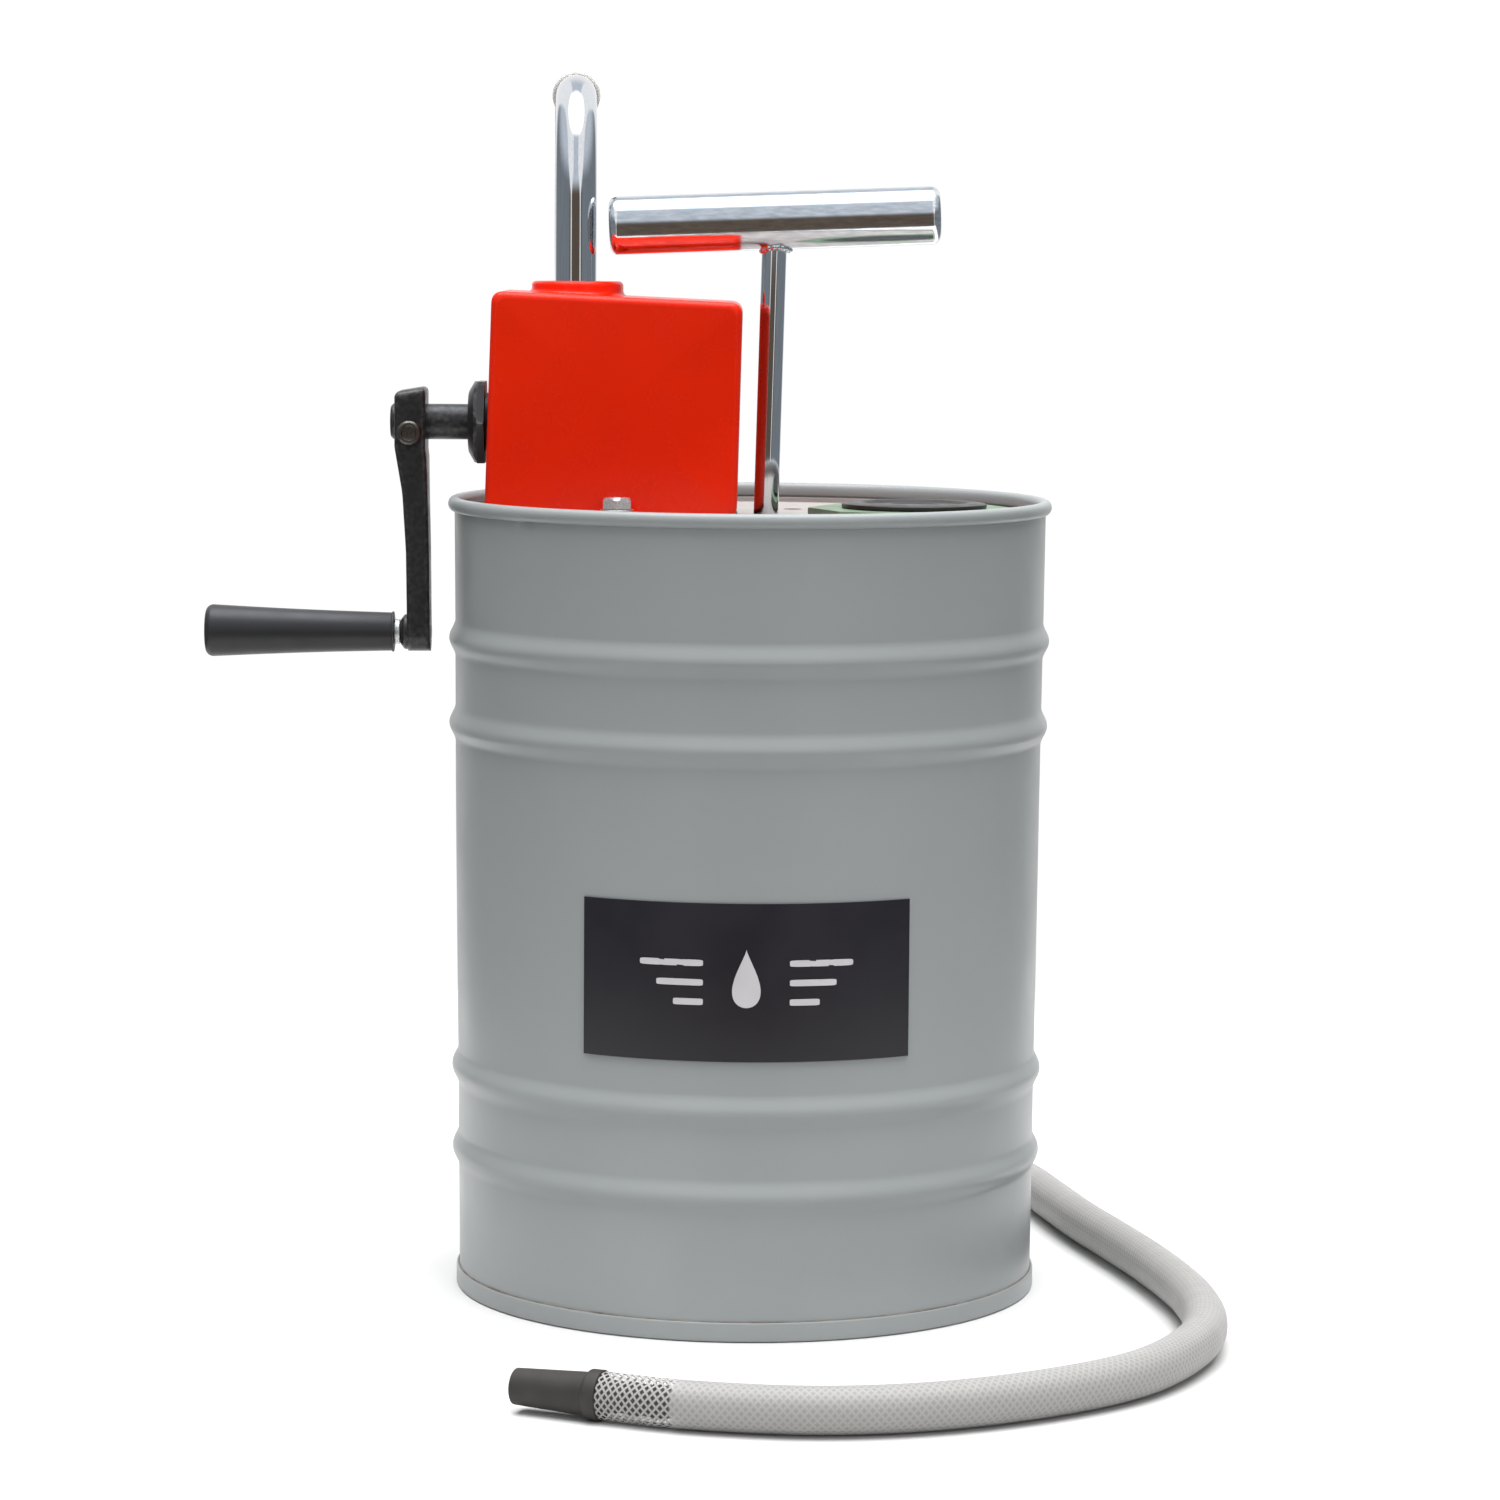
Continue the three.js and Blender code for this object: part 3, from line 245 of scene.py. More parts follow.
def carried(path: Array, radius: Array, side: Array, sides: int = 32) -> Array:
    """Carries a circle along a path: path + radius (n cos a + b sin a), with n and b square to the path.

    Args:
        path: points of shape (n, 3).
        radius: the circle's radius at each point.
        side: a direction at each point that is never along the path; n is its part square to the path.
        sides: number of steps round the circle.

    Returns:
        A grid of shape (n, sides + 1, 3).
    """
    tangent = np.gradient(path, axis=0)
    tangent /= np.linalg.norm(tangent, axis=1, keepdims=True)
    normal = side - (side * tangent).sum(axis=1, keepdims=True) * tangent
    normal /= np.linalg.norm(normal, axis=1, keepdims=True)
    binormal = np.cross(tangent, normal)
    angle = np.linspace(0, 2 * math.pi, sides + 1)[None, :, None]
    ring = normal[:, None] * np.cos(angle) + binormal[:, None] * np.sin(angle)
    return path[:, None] + np.asarray(radius)[:, None, None] * ring


def hollow(outer: Array, inner: Array) -> Array:
    """Joins an outer skin and an inner skin at both ends: out along one, back along the other, and closed."""
    return np.concatenate([outer, inner[::-1], outer[:1]])


def skin_uv(grid: Array) -> Array:
    """Gives each grid point its place as a share of the whole.

    Args:
        grid: the grid of points.

    Returns:
        (column share, row share) at each point.
    """
    rows, columns = grid.shape[:2]
    across, along = np.meshgrid(np.linspace(0, 1, columns), np.linspace(0, 1, rows))
    return np.stack([across, along], axis=-1)


def mesh_of(name: str, grids: Sequence[Array], uvs: Sequence[Array] | None = None) -> bpy.types.Mesh:
    """Makes a mesh of quads between neighbours on each grid, and merges what seams and poles share.

    Args:
        name: the mesh's name.
        grids: grids of points in millimetres.
        uvs: a pair of coordinates for each grid point, or None for shares of the grid.

    Returns:
        The mesh, in metres, with its faces pointing outwards.
    """
    uvs = uvs or [skin_uv(grid) for grid in grids]
    quads: list[Array] = []
    start = 0
    for grid in grids:
        index = start + np.arange(grid.shape[0] * grid.shape[1]).reshape(grid.shape[:2])
        corners = [index[:-1, :-1], index[:-1, 1:], index[1:, 1:], index[1:, :-1]]
        quads.append(np.stack(corners, axis=-1).reshape(-1, 4))
        start += index.size
    points = np.concatenate([grid.reshape(-1, 3) for grid in grids]) * MM
    faces = np.concatenate(quads)
    mesh = bpy.data.meshes.new(name)
    mesh.from_pydata(points.tolist(), [], faces.tolist())
    layer = mesh.uv_layers.new(name="Along")
    flat = np.concatenate([uv.reshape(-1, 2) for uv in uvs])[faces.reshape(-1)]
    layer.uv.foreach_set("vector", flat.astype(np.float32).reshape(-1))
    work = bmesh.new()
    work.from_mesh(mesh)
    bmesh.ops.remove_doubles(work, verts=work.verts, dist=MERGED)
    bmesh.ops.dissolve_degenerate(work, dist=VANISHED, edges=work.edges)
    bmesh.ops.recalc_face_normals(work, faces=work.faces)
    work.to_mesh(mesh)
    work.free()
    return mesh


def drill(piece: bpy.types.Object, cutters: Sequence[Array]) -> None:
    """Cuts closed skins out of a piece and leaves no modifier behind.

    Args:
        piece: the piece to cut.
        cutters: closed grids in millimetres.
    """
    for number, grid in enumerate(cutters):
        tool = bpy.data.objects.new(f"{piece.name}_cutter_{number}", mesh_of("cutter", [grid]))
        bpy.context.collection.objects.link(tool)
        cut = piece.modifiers.new("cut", "BOOLEAN")
        cut.operation = "DIFFERENCE"
        cut.object = tool
        cut.solver = "EXACT"
        bpy.context.view_layer.update()
        graph = bpy.context.evaluated_depsgraph_get()
        shaped = bpy.data.meshes.new_from_object(piece.evaluated_get(graph))
        piece.modifiers.clear()
        piece.data = shaped
        bpy.data.objects.remove(tool, do_unlink=True)


# ---------------------------------------------------------------- finishes


def linear(colour: str) -> tuple[float, float, float, float]:
    """Turns an sRGB hex value such as "#8f9495" into a linear colour with full alpha."""
    value = np.array([int(colour[i : i + 2], 16) for i in (1, 3, 5)]) / 255
    shade = np.where(value <= 0.04045, value / 12.92, ((value + 0.055) / 1.055) ** 2.4)
    return (*shade.tolist(), 1.0)


def add(tree: bpy.types.NodeTree, kind: str, settings: dict[Any, Any], out: int | str = 0) -> Any:
    """Adds a node with its settings and links.

    Args:
        tree: the node tree.
        kind: the node's type name without "ShaderNode".
        settings: values by input name, input number or attribute. A value that is an output socket is linked.
        out: the output to hand back.

    Returns:
        That output socket, or None where the node has no outputs.
    """
    node = tree.nodes.new(f"ShaderNode{kind}")
    for key, value in settings.items():
        if isinstance(value, bpy.types.NodeSocket):
            tree.links.new(value, node.inputs[key])
        elif isinstance(key, int) or key in node.inputs:
            node.inputs[key].default_value = value
        else:
            setattr(node, key, value)
    return node.outputs[out] if node.outputs else None


@dataclass(frozen=True)
class Finish:
    """A plain finish: two close shades in soft patches, a roughness that wanders, and a fine grain in relief.

    Attributes:
        name: the material's name, for what the real one is.
        colour: main colour, sRGB.
        shade: second colour of its patches, sRGB.
        roughness: middle roughness.
        metallic: 1 for bare or plated metal.
        mottle: size of the patches, in millimetres.
        grain: size of the relief's grains, in millimetres.
        relief: height of the relief, in millimetres.
        uneven: how far roughness wanders to each side.
        specular: strength of the reflection, 0.5 for a refractive index of 1.5.
    """

    name: str
    colour: str
    shade: str
    roughness: float = 0.5
    metallic: float = 0.0
    mottle: float = 40.0
    grain: float = 1.0
    relief: float = 0.01
    uneven: float = 0.05
    specular: float = 0.5

    def material(self) -> bpy.types.Material:
        """Makes the material on its first use.

        Returns:
            The material, the same one each time.
        """
        found = bpy.data.materials.get(self.name)
        if found:
            return found
        material = bpy.data.materials.new(self.name)
        material.use_nodes = True
        tree = material.node_tree
        tree.nodes.clear()
        place = add(tree, "TexCoord", {}, "Object")
        settings = {"Metallic": self.metallic, "Specular IOR Level": self.specular}
        shader = add(tree, "BsdfPrincipled", settings)
        add(tree, "OutputMaterial", {"Surface": shader})
        self.dress(tree, shader.node, place)
        return material

    def dress(self, tree: bpy.types.NodeTree, shader: bpy.types.Node, place: Any) -> None:
        """Gives the plain finish: patches of two shades over a fine grain.

        Args:
            tree: the material's node tree.
            shader: its shader.
            place: the socket that gives the place on the object, in metres.
        """
        self.colour_in(tree, shader, self.patches(tree, place))
        self.vary_gloss(tree, shader, place)
        self.emboss(tree, shader, add(tree, "TexNoise", {"Vector": place, "Scale": 1 / (self.grain * MM)}))

    def patches(self, tree: bpy.types.NodeTree, place: Any) -> Any:
        """Mixes the two shades in soft patches.

        Args:
            tree: the material's node tree.
            place: the socket that gives the place on the object.

        Returns:
            The socket of the mixed colour.
        """
        cloud = add(tree, "TexNoise", {"Vector": place, "Scale": 1 / (self.mottle * MM), "Detail": 3.0})
        share = add(tree, "MapRange", {"Value": cloud, "From Min": 0.3, "From Max": 0.7})
        mixed = {"data_type": "RGBA", 0: share, 6: linear(self.colour), 7: linear(self.shade)}
        return add(tree, "Mix", mixed, 2)

    def colour_in(self, tree: bpy.types.NodeTree, shader: bpy.types.Node, colour: Any) -> None:
        """Feeds a colour to the shader."""
        tree.links.new(colour, shader.inputs["Base Color"])

    def vary_gloss(self, tree: bpy.types.NodeTree, shader: bpy.types.Node, place: Any) -> None:
        """Lets roughness wander about its middle value, in patches half as wide as the colour's.

        Args:
            tree: the material's node tree.
            shader: its shader.
            place: the socket that gives the place on the object.
        """
        cloud = add(tree, "TexNoise", {"Vector": place, "Scale": 2 / (self.mottle * MM), "Detail": 4.0})
        reach = {"To Min": self.roughness - self.uneven, "To Max": self.roughness + self.uneven}
        value = add(tree, "MapRange", {"Value": cloud, "From Min": 0.3, "From Max": 0.7, **reach})
        tree.links.new(value, shader.inputs["Roughness"])

    def emboss(self, tree: bpy.types.NodeTree, shader: bpy.types.Node, height: Any) -> None:
        """Gives the surface its relief from a height between 0 and 1."""
        bump = add(tree, "Bump", {"Height": height, "Distance": self.relief * MM})
        tree.links.new(bump, shader.inputs["Normal"])


@dataclass(frozen=True)
class Enamel(Finish):
    """Stoving enamel sprayed on sheet steel: orange peel on a long wave, with stray specks of dust under it.

    Attributes:
        speck_gap: distance between specks, in millimetres.
        speck_size: a speck's radius, in millimetres.
        speck_colour: the dust's colour, sRGB.
        wave: width of the long wave, in grains.
        wave_share: the wave's height, in heights of the grain.
    """

    speck_gap: float = 34.0
    speck_size: float = 0.3
    speck_colour: str = "#6b6b68"
    wave: float = 9.0
    wave_share: float = 3.0

    def dress(self, tree: bpy.types.NodeTree, shader: bpy.types.Node, place: Any) -> None:
        """Adds the dust to the patches, and the wave to the peel.

        Args:
            tree: the material's node tree.
            shader: its shader.
            place: the socket that gives the place on the object.
        """
        cells = add(tree, "TexVoronoi", {"Vector": place, "Scale": 1 / (self.speck_gap * MM)}, "Distance")
        edge = self.speck_size / self.speck_gap
        dust = {"Value": cells, "From Min": edge, "From Max": edge * 1.6, "To Min": 0.3, "To Max": 0.0}
        share = add(tree, "MapRange", dust)
        base = self.patches(tree, place)
        mixed = {"data_type": "RGBA", 0: share, 6: base, 7: linear(self.speck_colour)}
        self.colour_in(tree, shader, add(tree, "Mix", mixed, 2))
        self.vary_gloss(tree, shader, place)
        peel = add(tree, "TexNoise", {"Vector": place, "Scale": 1 / (self.grain * MM), "Detail": 1.0})
        width = self.grain * self.wave * MM
        wave = add(tree, "TexNoise", {"Vector": place, "Scale": 1 / width, "Detail": 1.0})
        both = {"operation": "MULTIPLY_ADD", 0: wave, 1: self.wave_share, 2: peel}
        self.emboss(tree, shader, add(tree, "Math", both))


@dataclass(frozen=True)
class CastEnamel(Finish):
    """Gloss enamel on a sand casting: the mould's grain shows as soft lumps under a smooth coat.

    Attributes:
        lump: width of the lumps, in millimetres.
        lump_share: their height, in heights of the grain.
    """

    lump: float = 9.0
    lump_share: float = 2.5

    def dress(self, tree: bpy.types.NodeTree, shader: bpy.types.Node, place: Any) -> None:
        """Lays fine grain over broad lumps, under patches of two reds.

        Args:
            tree: the material's node tree.
            shader: its shader.
            place: the socket that gives the place on the object.
        """
        lumps = add(tree, "TexNoise", {"Vector": place, "Scale": 1 / (self.lump * MM), "Detail": 2.0})
        grain = add(tree, "TexNoise", {"Vector": place, "Scale": 1 / (self.grain * MM), "Detail": 3.0})
        self.colour_in(tree, shader, self.patches(tree, place))
        self.vary_gloss(tree, shader, place)
        both = {"operation": "MULTIPLY_ADD", 0: lumps, 1: self.lump_share, 2: grain}
        self.emboss(tree, shader, add(tree, "Math", both))


@dataclass(frozen=True)
class Plate(Finish):
    """Plated metal with faint polishing lines: noise drawn out along the way the piece was polished.

    Attributes:
        line: spacing of the lines, in millimetres.
        polished: how far the noise is drawn out along each axis, as a factor below 1.
    """

    line: float = 0.8
    polished: tuple[float, float, float] = (1.0, 1.0, 0.06)

    def dress(self, tree: bpy.types.NodeTree, shader: bpy.types.Node, place: Any) -> None:
        """Draws the lines in colour, gloss and relief.

        Args:
            tree: the material's node tree.
            shader: its shader.
            place: the socket that gives the place on the object.
        """
        drawn = add(tree, "Mapping", {"Vector": place, "Scale": self.polished})
        lines = add(tree, "TexNoise", {"Vector": drawn, "Scale": 1 / (self.line * MM), "Detail": 4.0})
        share = add(tree, "MapRange", {"Value": lines, "From Min": 0.35, "From Max": 0.65})
        base = {"data_type": "RGBA", 0: share, 6: linear(self.colour), 7: linear(self.shade)}
        self.colour_in(tree, shader, add(tree, "Mix", base, 2))
        reach = {"To Min": self.roughness - self.uneven, "To Max": self.roughness + self.uneven}
        value = add(tree, "MapRange", {"Value": lines, "From Min": 0.3, "From Max": 0.7, **reach})
        tree.links.new(value, shader.inputs["Roughness"])
        self.emboss(tree, shader, lines)


@dataclass(frozen=True)
class ForgedBlack(Finish):
    """Black stove paint on a forging: satin, slightly pitted, with a painted highlight along its edges.

    Attributes:
        edge_highlight: colour of the painted highlight along the edges, sRGB.
        highlight_break: size of the noise patches that break the painted highlight up, in millimetres.
    """

    edge_highlight: str = "#5f5d5b"
    highlight_break: float = 2.2

    def dress(self, tree: bpy.types.NodeTree, shader: bpy.types.Node, place: Any) -> None:
        """Paints a highlight on the edges, which are where the surface bends most, and breaks it up with
        noise.

        Args:
            tree: the material's node tree.
            shader: its shader.
            place: the socket that gives the place on the object.
        """
        # Painted highlight: a paler colour on the edges, where the surface bends most, broken up by noise.
        bend = add(tree, "NewGeometry", {}, "Pointiness")
        edge = add(tree, "MapRange", {"Value": bend, "From Min": 0.505, "From Max": 0.56})
        highlight_breaks = add(tree, "TexNoise", {"Vector": place, "Scale": 1 / (self.highlight_break * MM), "Detail": 5.0})
        broken = add(tree, "MapRange", {"Value": highlight_breaks, "From Min": 0.42, "From Max": 0.6, "To Max": 0.7})
        share = add(tree, "Math", {"operation": "MULTIPLY", 0: edge, 1: broken})
        mixed = {"data_type": "RGBA", 0: share, 6: self.patches(tree, place), 7: linear(self.edge_highlight)}
        self.colour_in(tree, shader, add(tree, "Mix", mixed, 2))
        self.vary_gloss(tree, shader, place)
        self.emboss(tree, shader, add(tree, "TexNoise", {"Vector": place, "Scale": 1 / (self.grain * MM)}))


@dataclass(frozen=True)
class BraidedHose(Finish):
    """Soft clear PVC with a white polyester braid in its wall.

    Two sets of yarns are wound opposite ways, so the gaps between them are diamonds. The piece's map gives
    the share of a turn and the distance from the nozzle in metres. The bore and the cut ends are marked by a
    share of 2 or more, and show no yarn. The wall looks milky, except where it is stretched tight over the
    nozzle's barb.

    Attributes:
        yarns: yarns in each set.
        pitch: distance between two yarns of a set along the hose, in millimetres.
        yarn_share: how much of that distance a yarn covers.
        tight: length of hose that is pushed over the barb, in millimetres.
        clear: how much of the light a gap stops there.
        milky: how much it stops elsewhere.
        blushed: where the stretch over the pipe starts, in millimetres from the nozzle. It has turned opaque.
        blush: its colour there.
        dense: how much of the light a yarn stops.
        scatter: share of the light that spreads inside the wall.
        fade: length over which one state of the wall turns into the next, in millimetres.
    """

    yarns: int = 16
    pitch: float = 3.4
    yarn_share: float = 0.36
    tight: float = 33.5
    clear: float = 0.03
    milky: float = 0.76
    blushed: float = 1600.0
    blush: str = "#d6d4ce"
    dense: float = 0.86
    scatter: float = 0.6
    fade: float = 1.5

    def dress(self, tree: bpy.types.NodeTree, shader: bpy.types.Node, place: Any) -> None:
        """Weaves the two windings as waves of (yarns x turn +- distance / pitch), and clears the gaps.

        Args:
            tree: the material's node tree.
            shader: its shader.
            place: the socket that gives the place on the object.
        """
        around = add(tree, "SeparateXYZ", {"Vector": add(tree, "UVMap", {"uv_map": "Along"})}, "X")
        along = around.node.outputs["Y"]
        edge = (1 - self.yarn_share) / 2
        windings = []
        for hand in (1.0, -1.0):
            reach = add(tree, "Math", {"operation": "MULTIPLY", 0: along, 1: hand / (self.pitch * MM)})
            turns = {"operation": "MULTIPLY_ADD", 0: around, 1: float(self.yarns), 2: reach}
            wave = add(tree, "Math", {"operation": "PINGPONG", 0: add(tree, "Math", turns), 1: 0.5})
            ramp = {"Value": wave, "From Min": edge - 0.06, "From Max": edge + 0.04}
            windings.append(add(tree, "MapRange", ramp))
        woven = add(tree, "Math", {"operation": "MAXIMUM", 0: windings[0], 1: windings[1]})
        outside = add(tree, "Math", {"operation": "LESS_THAN", 0: around, 1: 1.5})
        yarn = add(tree, "Math", {"operation": "MULTIPLY", 0: woven, 1: outside})
        base = {"data_type": "RGBA", 0: yarn, 6: linear(self.shade), 7: linear(self.colour)}
        woven_colour = add(tree, "Mix", base, 2)
        pulled = {"From Min": self.blushed * MM, "From Max": (self.blushed + self.fade) * MM}
        stretched = add(tree, "MapRange", {"Value": along, **pulled})
        whole = {"data_type": "RGBA", 0: stretched, 6: woven_colour, 7: linear(self.blush)}
        self.colour_in(tree, shader, add(tree, "Mix", whole, 2))
        ends = {"From Min": self.tight * MM, "From Max": (self.tight + self.fade) * MM}
        clear = add(tree, "MapRange", {"Value": along, **ends, "To Min": self.clear, "To Max": self.milky})
        gap = add(tree, "MapRange", {"Value": stretched, "To Min": clear, "To Max": 1.0})
        alpha = add(tree, "MapRange", {"Value": yarn, "To Min": gap, "To Max": self.dense})
        tree.links.new(alpha, shader.inputs["Alpha"])
        shader.inputs["Subsurface Weight"].default_value = self.scatter
        shader.inputs["Subsurface Radius"].default_value = (1.0, 1.0, 1.0)
        shader.inputs["Subsurface Scale"].default_value = self.tight * MM / 3
        self.vary_gloss(tree, shader, place)
        self.emboss(tree, shader, yarn)


class Paint(Enum):
    """Every finish of the object, each named for what the real one is."""

    # Grey stoving enamel: an even mid grey with a soft sheen and a faint peel.
    DRUM = Enamel("grey stoving enamel", "#8d9192", "#8a8e8f", 0.34, 0.0, 70, 1.6, 0.006, 0.04, 0.4)
    # The same enamel on the cover, warmer and paler with dried oil haze.
    COVER = Enamel("pale stoving enamel", "#9c9794", "#95908d", 0.42, 0.0, 50, 1.5, 0.006, 0.05, 0.4)
    # Green enamel on pressed steel: satin, a little dusty.
    FILLER = Enamel("green enamel", "#667a64", "#5e725c", 0.42, 0.0, 18, 1.2, 0.008, 0.06, 0.35)
    # Gloss red enamel on a casting: saturated, with rounded edges that catch the light.
    RED = CastEnamel("red enamel on a casting", "#dd2200", "#d61f00", 0.26, 0.0, 30, 1.1, 0.012, 0.04, 0.28)
    # Chrome plate on the upright tubes: a mirror, drawn fine along the tube.
    CHROME = Plate("polished chrome plate", "#dfe2e6", "#d5d9de", 0.07, 1.0, 25, 3.0, 0.0008, 0.02)
    # Chrome plate on the hand bar: cloudier, with scuffs along the bar.
    CHROME_BAR = Plate(
        "scuffed chrome plate", "#eceff3", "#d0d5da", 0.12, 1.0, 25, 3.0, 0.0008, 0.04, 0.5, 1.5,
        (0.2, 1.0, 1.0),
    )
    # Bright zinc plate: a soft grey metal.
    ZINC = Plate(
        "bright zinc plate", "#e2e3e2", "#c4c6c6", 0.46, 1.0, 6, 1.0, 0.004, 0.07, 0.5, 1.0, (1.0, 1.0, 1.0)
    )
    # Black stove paint on forged steel, with a painted highlight along its edges.
    BLACK = ForgedBlack("black stove paint", "#222224", "#1b1b1d", 0.34, 0.0, 15, 0.8, 0.014, 0.07, 0.4)
    # Phosphated screw steel: near black with a greasy metal edge.
    SCREW = Plate(
        "phosphated screw steel", "#6d6862", "#57534e", 0.36, 1.0, 6, 1.0, 0.01, 0.07, 0.5, 0.8,
        (1.0, 1.0, 1.0),
    )
    # Moulded polypropylene: near black, dull, with a fine eroded texture.
    GRIP = Finish("moulded polypropylene", "#262628", "#212123", 0.42, 0.0, 25, 0.5, 0.006, 0.05, 0.4)
    # Black moulded polyethylene: the filler cap.
    CAP = Finish("black polyethylene", "#1b1a1a", "#232120", 0.4, 0.0, 14, 0.6, 0.008, 0.08)
    # Moulded rubber: dark brown-grey and dry, with bloom in patches.
    NOZZLE = Finish("moulded rubber", "#2a2826", "#34312e", 0.6, 0.0, 9, 0.45, 0.012, 0.08, 0.35)
    # Black sealing rubber: dull.
    SEAL = Finish("sealing rubber", "#262424", "#1d1c1c", 0.7, 0.0, 9, 0.5, 0.01, 0.08)
    # Printed vinyl film: near black with a low sheen.
    FILM = Finish("printed vinyl film", "#1d1b20", "#201e23", 0.36, 0.0, 30, 0.7, 0.003, 0.04, 0.3)
    # Screen ink on the film: pale and flat.
    INK = Finish("pale screen ink", "#bdbbbe", "#b5b3b6", 0.5, 0.0, 20, 0.5, 0.003, 0.04)
    # Joint compound that has turned brown in the foot's seam.
    SEALANT = Finish("aged joint compound", "#5d564f", "#7d7973", 0.7, 0.0, 7, 0.8, 0.05, 0.05)
    # Soft clear PVC over a white braid: milky, with the braid showing in the light.
    HOSE = BraidedHose("braided clear PVC", "#9c9b99", "#949391", 0.4, 0.0, 20, 1.0, 0.02, 0.05, 0.3)
    # Grey iron as cast: dark and granular.
    IRON = Finish("grey cast iron", "#6b6b6c", "#5c5c5e", 0.6, 0.8, 12, 0.9, 0.03, 0.1)
    # Ground steel: grey with fine lines.
    STEEL = Plate("ground steel", "#a4a6a8", "#95979a", 0.28, 1.0, 8, 1.0, 0.003, 0.06)
    # Turned bronze: warm, with fine turning lines.
    BRONZE = Plate("turned bronze", "#b58b4c", "#a37b3f", 0.3, 1.0, 8, 1.0, 0.003, 0.06)
    # Gasket fibre soaked with oil: brown and matt.
    FIBRE = Finish("oiled gasket fibre", "#4a4038", "#5b5046", 0.85, 0.0, 5, 0.4, 0.03, 0.05)
    # Matt white floor paper.
    PAPER = Finish("white floor paper", "#cfcfcf", "#cccccc", 0.9, 0.0, 300, 2.0, 0.001, 0.02, 0.0)


class Slot(Enum):
    """The record's material slots, listed here; the pieces take their finish from Paint."""

    DRUM = "drum_paint"
    LABEL = "label_film"
    COVER = "cover_paint"
    FIBRE = "fibre"
    GREEN = "green_paint"
    CAP = "black_plastic"
    SEAL = "seal_rubber"
    CHROME = "chrome"
    ZINC = "zinc"
    RED = "red_enamel"
    BLACK = "black_steel"
    IRON = "cast_iron"
    STEEL = "steel"
    BRONZE = "bronze"
    GRIP = "grip_plastic"
    HOSE = "clear_hose"
    NOZZLE = "nozzle_rubber"


class Body(Enum):
    """The bodies of the CAD model."""

    BASE = "drum_and_pump"
    CRANK = "crank"
    GRIP = "grip"
    CAP = "filler_cap"


def make(
    name: str, grids: Sequence[Array], paint: Paint, body: Body, crease: float = 38.0,
    uvs: Sequence[Array] | None = None,
) -> bpy.types.Object:
    """Makes a piece, dresses it and fixes it to its body.

    Args:
        name: the piece's name.
        grids: its skins, in millimetres.
        paint: its finish.
        body: the body it rides on.
        crease: the angle in degrees past which an edge stays sharp.
        uvs: map coordinates for each skin, if a pattern follows it.

    Returns:
        The new object.
    """
    piece = bpy.data.objects.new(name, mesh_of(name, grids, uvs))
    bpy.context.collection.objects.link(piece)
    smooth(piece, crease)
    piece.data.materials.append(paint.value.material())
    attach(piece, body.value)
    LOG.info("%s: %d faces, %s", name, len(piece.data.polygons), paint.value.name)
    return piece


def smooth(piece: bpy.types.Object, crease: float) -> None:
    """Shades a piece smooth, with sharp edges past an angle in degrees."""
    mesh = piece.data
    mesh.shade_smooth()
    mesh.set_sharp_from_angle(angle=math.radians(crease))


# ---------------------------------------------------------------- studio


